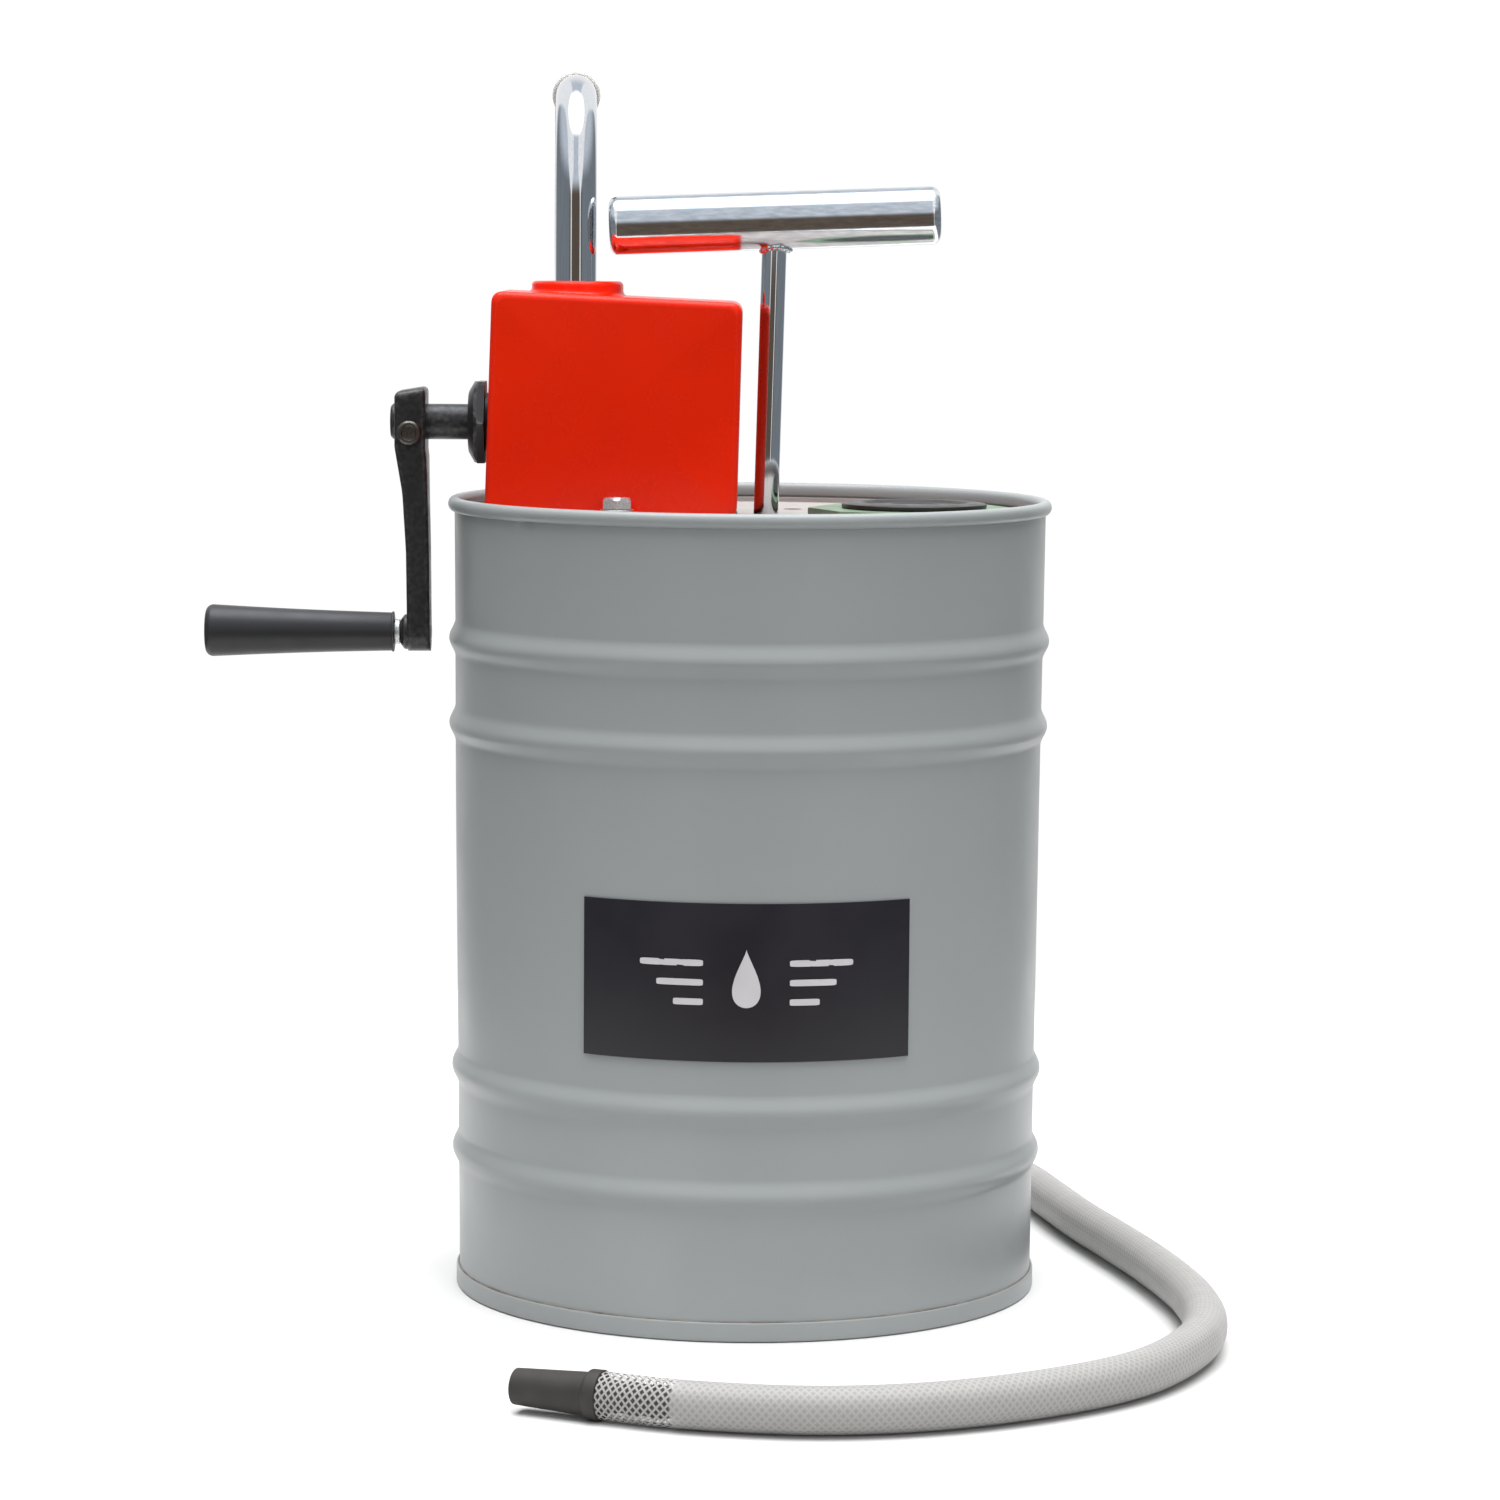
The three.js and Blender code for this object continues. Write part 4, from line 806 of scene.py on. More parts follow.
@dataclass(frozen=True)
class Studio:
    """A white studio: a camera with a long lens, large soft lights, a white floor and a pale surround.

    Attributes:
        distance: from the drum's axis to the camera, in metres.
        height: of the camera above the floor, in metres.
        aside: how far the camera stands to the right, in metres.
        pitch: how far it looks down, in degrees.
        roll: how far it is turned about its own axis, in degrees.
        lens: focal length in millimetres on a 36 mm sensor.
        overhead: strength of the overhead light.
        front: power of the light left of the camera, in watts.
        right: power of the light right of the camera, in watts.
        fill: shade of the even light from all round.
        front_wall: mirrored shade of the room behind the camera.
        ceiling: mirrored shade above.
        side_wall: mirrored shade of the walls at the sides.
        zenith: mirrored strength of the lamp straight above.
        strength: strength of the surround elsewhere.
    """

    distance: float = 2.332
    height: float = 0.5082
    aside: float = 0.00087
    pitch: float = 6.068
    roll: float = 0.42
    lens: float = 116.0
    overhead: float = 6.9
    front: float = 8.8
    right: float = 10.8
    fill: str = "#7c7c7c"
    front_wall: str = "#5f544a"
    ceiling: str = "#ccd3db"
    side_wall: str = "#7b8187"
    zenith: float = 7.0
    strength: float = 1.02

    def set_camera(self) -> None:
        """Places the camera in front of the object."""
        data = bpy.data.cameras.new("camera")
        data.lens = self.lens
        data.sensor_width = 36.0
        data.clip_end = 50.0
        camera = bpy.data.objects.new("camera", data)
        bpy.context.collection.objects.link(camera)
        place = Matrix.Translation((self.aside, -self.distance, self.height))
        tilt = Matrix.Rotation(math.radians(90 - self.pitch), 4, "X")
        turn = Matrix.Rotation(math.radians(self.roll), 4, "Z")
        camera.matrix_world = place @ tilt @ turn
        bpy.context.scene.camera = camera

    def add_light(
        self, name: str, place: Sequence[float], target: Sequence[float], size: float, power: float
    ) -> None:
        """Hangs one square soft light, which lights surfaces but isn't mirrored in the plate.

        Args:
            name: the light's name.
            place: where it hangs, in metres.
            target: the point it faces.
            size: its side, in metres.
            power: its power in watts.
        """
        data = bpy.data.lights.new(name, "AREA")
        data.size = size
        data.energy = power
        light = bpy.data.objects.new(name, data)
        light.visible_glossy = False
        bpy.context.collection.objects.link(light)
        aim = Vector(target) - Vector(place)
        light.matrix_world = Matrix.Translation(place) @ aim.to_track_quat("-Z", "Y").to_matrix().to_4x4()

    def add_overhead(self) -> None:
        """Hangs the even overhead light, as wide as a ceiling of lamps."""
        data = bpy.data.lights.new("overhead", "SUN")
        data.energy = self.overhead
        data.angle = math.radians(70)
        light = bpy.data.objects.new("overhead", data)
        light.visible_glossy = False
        bpy.context.collection.objects.link(light)

    def set_surround(self) -> None:
        """Makes the surround.

        To the eye it is white, and it lights every surface evenly. Mirrored in a surface it is a room: a dim
        front wall under a cool ceiling, a bright strip on each side of the middle that widens upwards, dark
        side walls, a white back and a soft lamp straight above. Each ramp runs over the share of a direction
        that points aside, back or up.
        """
        world = bpy.data.worlds.new("surround")
        bpy.context.scene.world = world
        world.use_nodes = True
        tree = world.node_tree
        tree.nodes.clear()
        across = add(tree, "SeparateXYZ", {"Vector": add(tree, "TexCoord", {}, "Generated")}, "X")
        back, up = across.node.outputs["Y"], across.node.outputs["Z"]
        aside = add(tree, "Math", {"operation": "ABSOLUTE", 0: across})
        soft = {"interpolation_type": "SMOOTHSTEP"}
        ceiling = add(tree, "MapRange", {**soft, "Value": up, "From Min": 0.06, "From Max": 0.32})
        room = {"data_type": "RGBA", 0: ceiling, 6: linear(self.front_wall), 7: linear(self.ceiling)}
        middle = add(tree, "Mix", room, 2)
        walls = add(tree, "MapRange", {**soft, "Value": aside, "From Min": 0.5, "From Max": 0.62})
        falling = {**soft, "To Min": 1.0, "To Max": 0.0}
        low = add(tree, "MapRange", {**falling, "Value": up, "From Min": 0.2, "From Max": 0.6})
        dark = add(tree, "Math", {"operation": "MULTIPLY", 0: walls, 1: low})
        sides = add(tree, "Mix", {"data_type": "RGBA", 0: dark, 6: middle, 7: linear(self.side_wall)}, 2)
        width = {**soft, "Value": up, "From Min": 0.0, "From Max": 0.55, "To Min": 0.04, "To Max": 0.22}
        reach = add(tree, "MapRange", width)
        off = add(tree, "Math", {"operation": "SUBTRACT", 0: aside, 1: 0.42})
        away = add(tree, "Math", {"operation": "ABSOLUTE", 0: off})
        past = add(tree, "Math", {"operation": "SUBTRACT", 0: away, 1: reach})
        strip = add(tree, "MapRange", {**falling, "Value": past, "From Min": -0.03, "From Max": 0.03})
        lamps = add(tree, "Mix", {"data_type": "RGBA", 0: strip, 6: sides, 7: linear("#ffffff")}, 2)
        behind = add(tree, "MapRange", {**soft, "Value": back, "From Min": 0.68, "From Max": 0.92})
        mirrored = add(tree, "Mix", {"data_type": "RGBA", 0: behind, 6: lamps, 7: linear("#fafafa")}, 2)
        path = add(tree, "LightPath", {}, "Is Camera Ray")
        fill = {"data_type": "RGBA", 0: path.node.outputs["Is Glossy Ray"], 6: linear(self.fill), 7: mirrored}
        lit = add(tree, "Mix", fill, 2)
        seen = add(tree, "Mix", {"data_type": "RGBA", 0: path, 6: lit, 7: linear("#ffffff")}, 2)
        above = {**soft, "Value": up, "From Min": 0.84, "From Max": 1.0, "To Max": self.zenith}
        lamp = add(tree, "MapRange", above)
        glossy = path.node.outputs["Is Glossy Ray"]
        shine = add(tree, "Math", {"operation": "MULTIPLY", 0: glossy, 1: lamp})
        strength = add(tree, "Math", {"operation": "ADD", 0: shine, 1: self.strength})
        add(tree, "OutputWorld", {"Surface": add(tree, "Background", {"Color": seen, "Strength": strength})})

    def lay_floor(self) -> None:
        """Lays the floor paper: a flat grid.

        It is short in front, so that the plate mirrors the room beyond it, and narrow, so that little light
        bounces off it onto the drum's sides.
        """
        across, along = np.meshgrid(np.linspace(-640, 640, 13), np.linspace(-560, 900, 13))
        grid = np.stack([across, along, np.full_like(across, -0.4)], axis=-1)
        floor = bpy.data.objects.new("floor", mesh_of("floor", [grid]))
        bpy.context.collection.objects.link(floor)
        floor.data.materials.append(Paint.PAPER.value.material())

    def build(self) -> None:
        """Sets up the whole studio."""
        self.set_camera()
        self.set_surround()
        self.lay_floor()
        self.add_overhead()
        self.add_light("front light", (-0.5, -2.3, 1.3), (0, 0, 0.3), 1.2, self.front)
        self.add_light("right light", (1.0, -2.0, 1.0), (0, 0, 0.35), 1.0, self.right)
        bpy.context.scene.view_settings.view_transform = "Standard"


# ---------------------------------------------------------------- hose and nozzle


@dataclass(frozen=True)
class Hose:
    """The delivery hose: from the gooseneck down behind the drum, across the floor and round to the front.

    Attributes:
        outer: outside radius.
        inner: inside radius.
        stretched: outside radius where the hose is pushed over the pipe.
        stretched_inner: inside radius there.
        grip_length: length of that stretch.
        ring_gap: distance between two rings of the mesh.
        sides: steps round the hose.
        route: points listed along the middle of the hose.
    """

    outer: float = 10.5
    inner: float = 8.1
    stretched: float = 11.7
    stretched_inner: float = 10.2
    grip_length: float = 31.0
    ring_gap: float = 3.0
    sides: int = 40
    route: tuple[tuple[float, float, float], ...] = (
        (-86.4, 53, 576), (-87.6, 85, 576), (-89.2, 125, 569), (-90.6, 160, 547), (-91.6, 183, 513),
        (-91.8, 191, 476), (-91.8, 191, 400), (-91.8, 191, 300), (-91.8, 192, 200), (-90, 195, 135),
        (-82, 204, 85), (-62, 222, 45), (-34, 245, 21), (4, 270, 10.8), (50, 286, 10.8), (95, 275, 10.8),
        (130, 240, 10.8), (148, 195, 10.8), (160, 143, 10.8), (171, 93, 10.8), (184, 44, 10.8),
        (196, -3, 10.8), (205.5, -48, 10.8), (212, -92, 10.8), (213, -138, 10.8), (204, -185, 10.8),
        (170, -247, 10.8), (100, -297, 10.8), (37, -313, 10.8), (-25, -304.5, 10.8), (-60, -290, 10.8),
    )

    def curve(self, steps: int = 24) -> Array:
        """Draws a centripetal Catmull-Rom curve through the route, evenly spaced along its length.

        Between two points the curve is a cubic whose end slopes come from the neighbours, each weighted by
        the square root of its distance.

        Args:
            steps: samples between two points, before they are spaced evenly.

        Returns:
            Points of shape (n, 3), `ring_gap` apart.
        """
        knots = np.array(self.route, float)
        knots = np.vstack([2 * knots[0] - knots[1], knots, 2 * knots[-1] - knots[-2]])
        p0, p1, p2, p3 = knots[:-3], knots[1:-2], knots[2:-1], knots[3:]
        pairs = ((p0, p1), (p1, p2), (p2, p3))
        d0, d1, d2 = (np.sqrt(np.linalg.norm(b - a, axis=1, keepdims=True)) for a, b in pairs)
        slope1 = ((p1 - p0) / d0 - (p2 - p0) / (d0 + d1) + (p2 - p1) / d1) * d1
        slope2 = ((p2 - p1) / d1 - (p3 - p1) / (d1 + d2) + (p3 - p2) / d2) * d1
        t = np.linspace(0, 1, steps, endpoint=False)[None, :, None]
        blend = (2 * t**3 - 3 * t**2 + 1, t**3 - 2 * t**2 + t, -2 * t**3 + 3 * t**2, t**3 - t**2)
        parts = (p1[:, None], slope1[:, None], p2[:, None], slope2[:, None])
        raw = sum(weight * part for weight, part in zip(blend, parts)).reshape(-1, 3)
        raw = np.vstack([raw, knots[-2]])
        length = np.concatenate([[0], np.cumsum(np.linalg.norm(np.diff(raw, axis=0), axis=1))])
        even = np.linspace(0, length[-1], int(length[-1] / self.ring_gap) + 1)
        return np.stack([np.interp(even, length, raw[:, axis]) for axis in range(3)], axis=1)

    def build(self) -> None:
        path = self.curve()
        reach = np.concatenate([[0], np.cumsum(np.linalg.norm(np.diff(path, axis=0), axis=1))])
        over_pipe = 1 / (1 + np.exp((reach - self.grip_length - 6) / 2.5))
        outer = self.outer + (self.stretched - self.outer) * over_pipe
        inner = self.inner + (self.stretched_inner - self.inner) * over_pipe
        # The rings turn with a direction that is sideways in the air and upright on the floor.
        on_floor = np.clip((140 - path[:, 2:]) / 110, 0, 1)
        side = (1 - on_floor) * np.array([[1.0, 0, 0]]) + on_floor * np.array([[0, 0, 1.0]])
        skin_out = carried(path, outer, side, self.sides)
        skin_in = carried(path, inner, side, self.sides)
        along = np.repeat((reach[-1] - reach)[:, None] * MM, self.sides + 1, axis=1)
        around = np.repeat(np.linspace(0, 1, self.sides + 1)[None], len(path), axis=0)
        uv = np.stack([around, along], axis=-1)
        # The bore and the cut ends are marked by two more turns in the map.
        plain = uv + np.array([2.0, 0.0])
        skin = np.concatenate([skin_out, skin_out[-1:], skin_in[::-1], skin_out[:1]])
        marks = np.concatenate([uv, plain[-1:], plain[::-1], plain[:1]])
        piece = make("hose", [skin], Paint.HOSE, Body.BASE, 50, [marks])
        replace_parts(piece, "hose_run")
        nozzle = Nozzle().build(path[-1], path[-1] - path[-2])


@dataclass(frozen=True)
class Nozzle:
    """The rubber nozzle: a collar, a tapered spout, a bore and a barb that shows through the hose's end.

    Attributes:
        gap: distance between the hose's end and the collar.
        collar_radius: the collar's radius.
        collar: its thickness.
        root_radius: the spout's radius at the collar.
        tip_radius: the spout's radius at its tip.
        length: from the collar's back to the tip.
        bore_radius: the bore's radius.
        barb_radius: radius of the barb's ridges.
        barb_length: length of the barb, inside the hose.
        ridges: number of ridges.
        ridge_depth: how far the barb drops between them.
    """

    gap: float = 0.3
    collar_radius: float = 11.1
    collar: float = 6.0
    root_radius: float = 9.6
    tip_radius: float = 8.0
    length: float = 42.0
    bore_radius: float = 4.5
    barb_radius: float = 7.7
    barb_length: float = 33.0
    ridges: int = 3
    ridge_depth: float = 1.2

    def profile(self) -> Array:
        """Draws the spout's profile from the barb's end to the tip and back through the bore."""
        step = self.barb_length / self.ridges
        low = self.barb_radius - self.ridge_depth
        ends = [(number - self.ridges + 1) * step for number in range(self.ridges)]
        barb = np.concatenate(
            [[(low, end - step), (self.barb_radius, end - 1.6), (low, end - 1.2)] for end in ends]
        )
        spout = [
            (low, 0), (self.collar_radius, 0), (self.collar_radius, self.collar),
            (self.root_radius, self.collar + 0.8), (self.tip_radius, self.length),
            (self.bore_radius, self.length),
        ]
        body = eased([(self.bore_radius, -self.barb_length), *barb, *spout], 0.7, 4)
        bore = [(self.bore_radius, -self.barb_length)]
        return np.vstack([body, bore])

    def build(self, seat: Array, direction: Array) -> bpy.types.Object:
        """Makes the nozzle at the hose's end.

        Args:
            seat: the middle of the hose's end face.
            direction: the way the hose points there.

        Returns:
            The nozzle.
        """
        axis = direction / np.linalg.norm(direction)
        grid = aimed(turned(self.profile(), 64), seat + axis * self.gap, axis)
        piece = make("nozzle_rubber", [grid], Paint.NOZZLE, Body.BASE, 45)
        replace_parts(piece, "nozzle")
        return piece


# ---------------------------------------------------------------- drum


@dataclass(frozen=True)
class Drum:
    """The steel drum: a rolled wall with a rim bead and two pairs of ribs, a foot, a label and a cover.

    Attributes:
        foot_radius: the wall's outer radius at the foot.
        top_radius: the same at the top.
        wall: thickness of the sheet.
        bead_half_width: half the rim bead's width.
        bead_half_height: half its height.
        rib_levels: heights of the ribs' crests.
        rib_height: how far a rib stands out.
        rib_half_width: half a rib's width.
        dent: depth of the dents.
        seam_width: half width of the side seam.
        seam_height: how far the seam stands out.
        pan_flange: height of the pan's flange.
        label_half_angle: half the label's width, in degrees.
        bead_flaws: share of the wall's flaws that the bead shows.
        sides: steps round the drum.
    """

    foot_radius: float = 139.4
    top_radius: float = 142.5
    wall: float = 1.2
    bead_half_width: float = 3.1
    bead_half_height: float = 3.5
    rib_levels: tuple[float, ...] = (67, 107, 274, 315)
    rib_height: float = 3.0
    rib_half_width: float = 9.0
    dent: float = 0.12
    seam_width: float = 3.5
    seam_height: float = 0.5
    bead_flaws: float = 0.1
    pan_flange: float = 9.0
    label_half_angle: float = 32.0
    sides: int = 192

    def radius(self, z: Array, height: float) -> Array:
        """Gives the wall's outer radius: a straight taper plus a squared-cosine bump at each rib.

        Args:
            z: heights above the foot.
            height: the height where the taper reaches the top radius.

        Returns:
            The radius at each height.
        """
        taper = self.foot_radius + (self.top_radius - self.foot_radius) * z / height
        across = np.clip(np.abs(z[..., None] - np.array(self.rib_levels)) / self.rib_half_width, 0, 1)
        return taper + (self.rib_height * np.cos(across * math.pi / 2) ** 2).sum(axis=-1)

    def flaws(self, z: Array, angle: Array) -> Array:
        """Gives what rolling and use leave: broad shallow dents, and the raised side seam at the back.

        Dents are a sum of cosines that wind round the wall, and the seam is a bell curve across itself.

        Args:
            z: heights above the foot.
            angle: angles about the axis, in radians.

        Returns:
            What to add to the radius.
        """
        waves = (
            np.cos(3 * angle + z / 61) + np.cos(5 * angle - z / 43 + 1.7) + np.cos(7 * angle + z / 29 + 0.6)
            + np.cos(2 * angle - z / 90 + 2.1)
        )
        from_seam = (angle - math.pi / 2) * self.foot_radius / self.seam_width
        return self.dent * waves / 2 + self.seam_height * np.exp(-(from_seam**2))

    def shell(self) -> None:
        """Makes the wall with its rim bead, outside and inside."""
        span = Span.of("drum_shell")
        top, foot = span.high[2], span.low[2]
        bead_r, bead_z = self.top_radius - 0.2, top - self.bead_half_height
        levels = [np.linspace(foot, bead_z - self.bead_half_height, 44)]
        levels += [level + np.linspace(-1, 1, 19) * self.rib_half_width for level in self.rib_levels]
        z = np.unique(np.round(np.concatenate(levels), 2))
        angle = np.linspace(0, 2 * math.pi, self.sides + 1)
        outer = self.radius(z, top)[:, None] + self.flaws(z[:, None], angle[None])
        inner = outer - self.wall
        turn = np.radians(np.linspace(-86, 251, 28))
        bead = (bead_r + self.bead_half_width * np.cos(turn))[:, None]
        bead = bead + self.bead_flaws * self.flaws(bead_z, angle)[None]
        radius = np.concatenate([outer, bead, inner[::-1], outer[:1]])
        height = np.concatenate([z, bead_z + self.bead_half_height * np.sin(turn), z[::-1], z[:1]])
        height = np.repeat(height[:, None], len(angle), axis=1)
        grid = np.stack([radius * np.cos(angle), radius * np.sin(angle), height], axis=-1)
        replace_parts(make("drum_wall", [grid], Paint.DRUM, Body.BASE), "drum_shell")

    def foot(self) -> None:
        """Makes the bottom pan, its crimped flange and the compound that has crept out of the seam."""
        outer = Span.of("drum_bottom").size[0] / 2
        inner = outer - self.wall
        lip = self.pan_flange
        corners = [(0, 0), (outer, 0), (outer, lip), (inner, lip), (inner, self.wall), (0, self.wall)]
        pan = turned(eased(corners, 0.9, 5), self.sides)
        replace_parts(make("drum_pan", [pan], Paint.DRUM, Body.BASE), "drum_bottom")
        seam = arc((inner - 0.15, lip - 0.1), 0.55, 0, 360, 10)
        angle = np.linspace(0, 2 * math.pi, self.sides + 1)
        ring = turned(seam, self.sides)
        creep = 0.35 * np.cos(17 * angle) * np.cos(5 * angle + 1)
        ring[..., 2] += np.where(creep > 0, creep, 0)[None]
        make("foot_seam_compound", [ring], Paint.SEALANT, Body.BASE)

    def label(self) -> None:
        """Makes the film label and its plain printed drop and rules."""
        span = Span.of("drum_label")
        outer = max(np.hypot(span.high[0], span.high[1]), -span.low[1])
        half = math.radians(self.label_half_angle) * outer
        low, high = span.low[2], span.high[2]
        across = np.linspace(-half, half, 65)
        loop = [(outer - 0.5, low), (outer, low), (outer, high), (outer - 0.5, high), (outer - 0.5, low)]
        rows = eased(loop, 0.2, 3)
        rows = np.vstack([rows, rows[:1]])
        angle = across[:, None] / outer - math.pi / 2
        radius = rows[:, 0]
        film = np.stack([radius * np.cos(angle), radius * np.sin(angle), rows[:, 1] + 0 * angle], axis=-1)
        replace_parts(make("label_film", [capped(film)], Paint.FILM, Body.BASE), "drum_label")
        middle = (low + high) / 2
        marks = [self.drop(0, middle + 2, outer)]
        for side in (-1, 1):
            for number, reach in enumerate((30, 22, 14)):
                up = middle + 9 - 9 * number
                marks.append(self.rule(side * (20 + reach / 2), up, reach, 3.0, outer))
        make("label_marks", marks, Paint.INK, Body.BASE)

    def rule(self, across: float, up: float, width: float, height: float, radius: float) -> Array:
        """Makes a thin printed bar: a superellipse, so that its ends are slightly round.

        Args:
            across: its middle, as a distance round the wall from the front.
            up: its height above the foot.
            width: its width.
            height: its own height.
            radius: the label's radius.

        Returns:
            A closed grid.
        """
        angle = np.linspace(0, 2 * math.pi, 49)
        power = 0.25
        x = across + width / 2 * np.sign(np.cos(angle)) * np.abs(np.cos(angle)) ** power
        y = up + height / 2 * np.sign(np.sin(angle)) * np.abs(np.sin(angle)) ** power
        return self.inked(x, y, across, up, radius)

    def drop(self, across: float, up: float, radius: float) -> Array:
        """Makes a thin printed oil drop: width times sin t sin(t/2)^1.6, height times cos t.

        Args:
            across: its middle, as a distance round the wall from the front.
            up: its height above the foot.
            radius: the label's radius.

        Returns:
            A closed grid.
        """
        t = np.linspace(0, 2 * math.pi, 65)
        x = across + 9.5 * np.sin(t) * np.sin(t / 2) ** 1.6
        y = up + 13.5 * np.cos(t)
        return self.inked(x, y, across, up - 3, radius)

    def inked(self, x: Array, y: Array, across: float, up: float, radius: float) -> Array:
        """Fills an outline on the label: out from its middle above the film, and back below its face.

        Args:
            x: the outline, as distances round the wall from the front.
            y: its heights above the foot.
            across: the middle it is filled from.
            up: that middle's height.
            radius: the label's radius.

        Returns:
            A closed grid.
        """
        share = np.array([0, 0.5, 1, 1, 0.5, 0])[:, None]
        lift = np.array([0.06, 0.06, 0.06, -0.1, -0.1, -0.1])[:, None]
        angle = (across + share * (x - across)) / radius - math.pi / 2
        height = up + share * (y - up)
        return np.stack([(radius + lift) * np.cos(angle), (radius + lift) * np.sin(angle), height], axis=-1)

    def cover(self) -> None:
        """Makes the recessed cover with its pressed ring, turned-up edge and real holes."""
        span = Span.of("cover_plate")
        outer = span.size[0] / 2
        top, under = span.high[2] - 2.8, span.low[2]
        edge = outer - 1.2
        profile = eased(
            [(0, under), (outer, under), (outer, span.high[2]), (edge, span.high[2]), (edge, top), (131, top),
             (129, top + 0.8), (126, top + 0.8), (124, top), (0, top)], 0.8, 4,
        )
        piece = make("cover_sheet", [turned(profile, self.sides)], Paint.COVER, Body.BASE)
        rod, pipe, bolt = Span.of("handle_rod"), Span.of("suction_pipe"), Span.of("housing_bolt_front")
        neck = Span.of("filler_flange")
        holes = [
            (21.2, 78.5, 4.8),
            (rod.low[0] + 6, 0, 5.3),
            (pipe.mid[0], 0, 9.3),
            (bolt.mid[0], bolt.mid[1], 4.3),
            (bolt.mid[0], -bolt.mid[1], 4.3),
            (neck.mid[0], 0, 30.3),
        ]
        cutters = []
        for x, y, radius in holes:
            drillbit = np.array([(0, under - 3), (radius, under - 3), (radius, top + 3), (0, top + 3)])
            cutters.append(turned(drillbit, 48) + np.array([x, y, 0]))
        drill(piece, cutters)
        smooth(piece, 38)
        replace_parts(piece, "cover_plate")

    def build(self) -> None:
        """Makes every piece of the drum."""
        self.shell()
        self.foot()
        self.label()
        self.cover()


# ---------------------------------------------------------------- filler


@dataclass(frozen=True)
class Filler:
    """The filler: an eight-sided green flange with a neck, its gasket, and a dished push-fit cap.

    Attributes:
        sides: steps round each piece.
        neck_outer: the neck's outer radius.
        neck_inner: its inner radius.
        skirt_outer: outer radius of the cap's skirt.
        skirt_inner: inner radius of the skirt.
        skirt_length: length of the skirt.
        dish_radius: radius of the cap's dish.
        dish_depth: its depth.
    """

    sides: int = 96
    neck_outer: float = 30.0
    neck_inner: float = 28.0
    skirt_outer: float = 27.4
    skirt_inner: float = 24.4
    skirt_length: float = 12.0
    dish_radius: float = 26.0
    dish_depth: float = 1.4

    def flats(self, span: Span) -> Flats:
        """Gives the flange's eight sides, with a corner on +X and one on -X."""
        return Flats(8, span.size[0] / 2 * math.cos(math.pi / 8))

    def flange(self) -> None:
        """Makes the flange with its neck, and the gasket under it."""
        span = Span.of("filler_flange")
        gasket = Span.of("filler_gasket")
        top, foot = span.high[2], span.low[2]
        under = gasket.high[2] + 0.3
        reach = span.size[0] / 2
        corners = [
            (self.neck_inner, foot), (self.neck_outer, foot), (self.neck_outer, under), (reach, under),
            (reach, top), (self.neck_inner, top), (self.neck_inner, foot + 1),
        ]
        profile = np.vstack([eased(corners, 0.7, 4), corners[0]])
        grid = turned(profile, self.sides, self.flats(span)) + np.array([span.mid[0], 0, 0])
        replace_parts(make("filler_plate", [grid], Paint.FILLER, Body.BASE), "filler_flange")
        ring = [
            (self.neck_outer + 0.3, gasket.low[2]), (reach, gasket.low[2]), (reach, gasket.high[2]),
            (self.neck_outer + 0.3, gasket.high[2]), (self.neck_outer + 0.3, gasket.low[2]),
        ]
        grid = turned(np.array(ring), self.sides, self.flats(span)) + np.array([span.mid[0], 0, 0])
        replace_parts(make("filler_joint", [grid], Paint.FIBRE, Body.BASE), "filler_gasket")

    def cap(self) -> None:
        """Makes the cap: a thin rim, a shallow dish with a moulded ring, and a skirt inside the neck."""
        span = Span.of("filler_cap")
        top, seat = span.high[2], span.low[2] + self.skirt_length
        reach = span.size[0] / 2
        dish = self.dish_radius
        low = top - self.dish_depth
        profile = eased(
            [(self.skirt_inner, span.low[2]), (self.skirt_outer, span.low[2]),
             (self.skirt_outer, seat + 1.1), (33.3, seat + 1.1), (33.3, seat), (reach, seat),
             (reach, top - 0.6), (dish + 4, top), (dish, top),
             (dish - 2.5, low), (15, low), (14, low + 0.5), (12.5, low + 0.5), (11.5, low), (0, low)], 0.6, 4,
        )
        inside = [(0, seat + 0.1), (self.skirt_inner, seat + 0.1), (self.skirt_inner, span.low[2])]
        grid = turned(np.vstack([profile, inside]), self.sides) + np.array([span.mid[0], 0, 0])
        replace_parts(make("filler_lid", [grid], Paint.CAP, Body.CAP), "filler_cap")

    def build(self) -> None:
        """Makes the flange, its gasket and the cap."""
        self.flange()
        self.cap()


# ---------------------------------------------------------------- carry handle


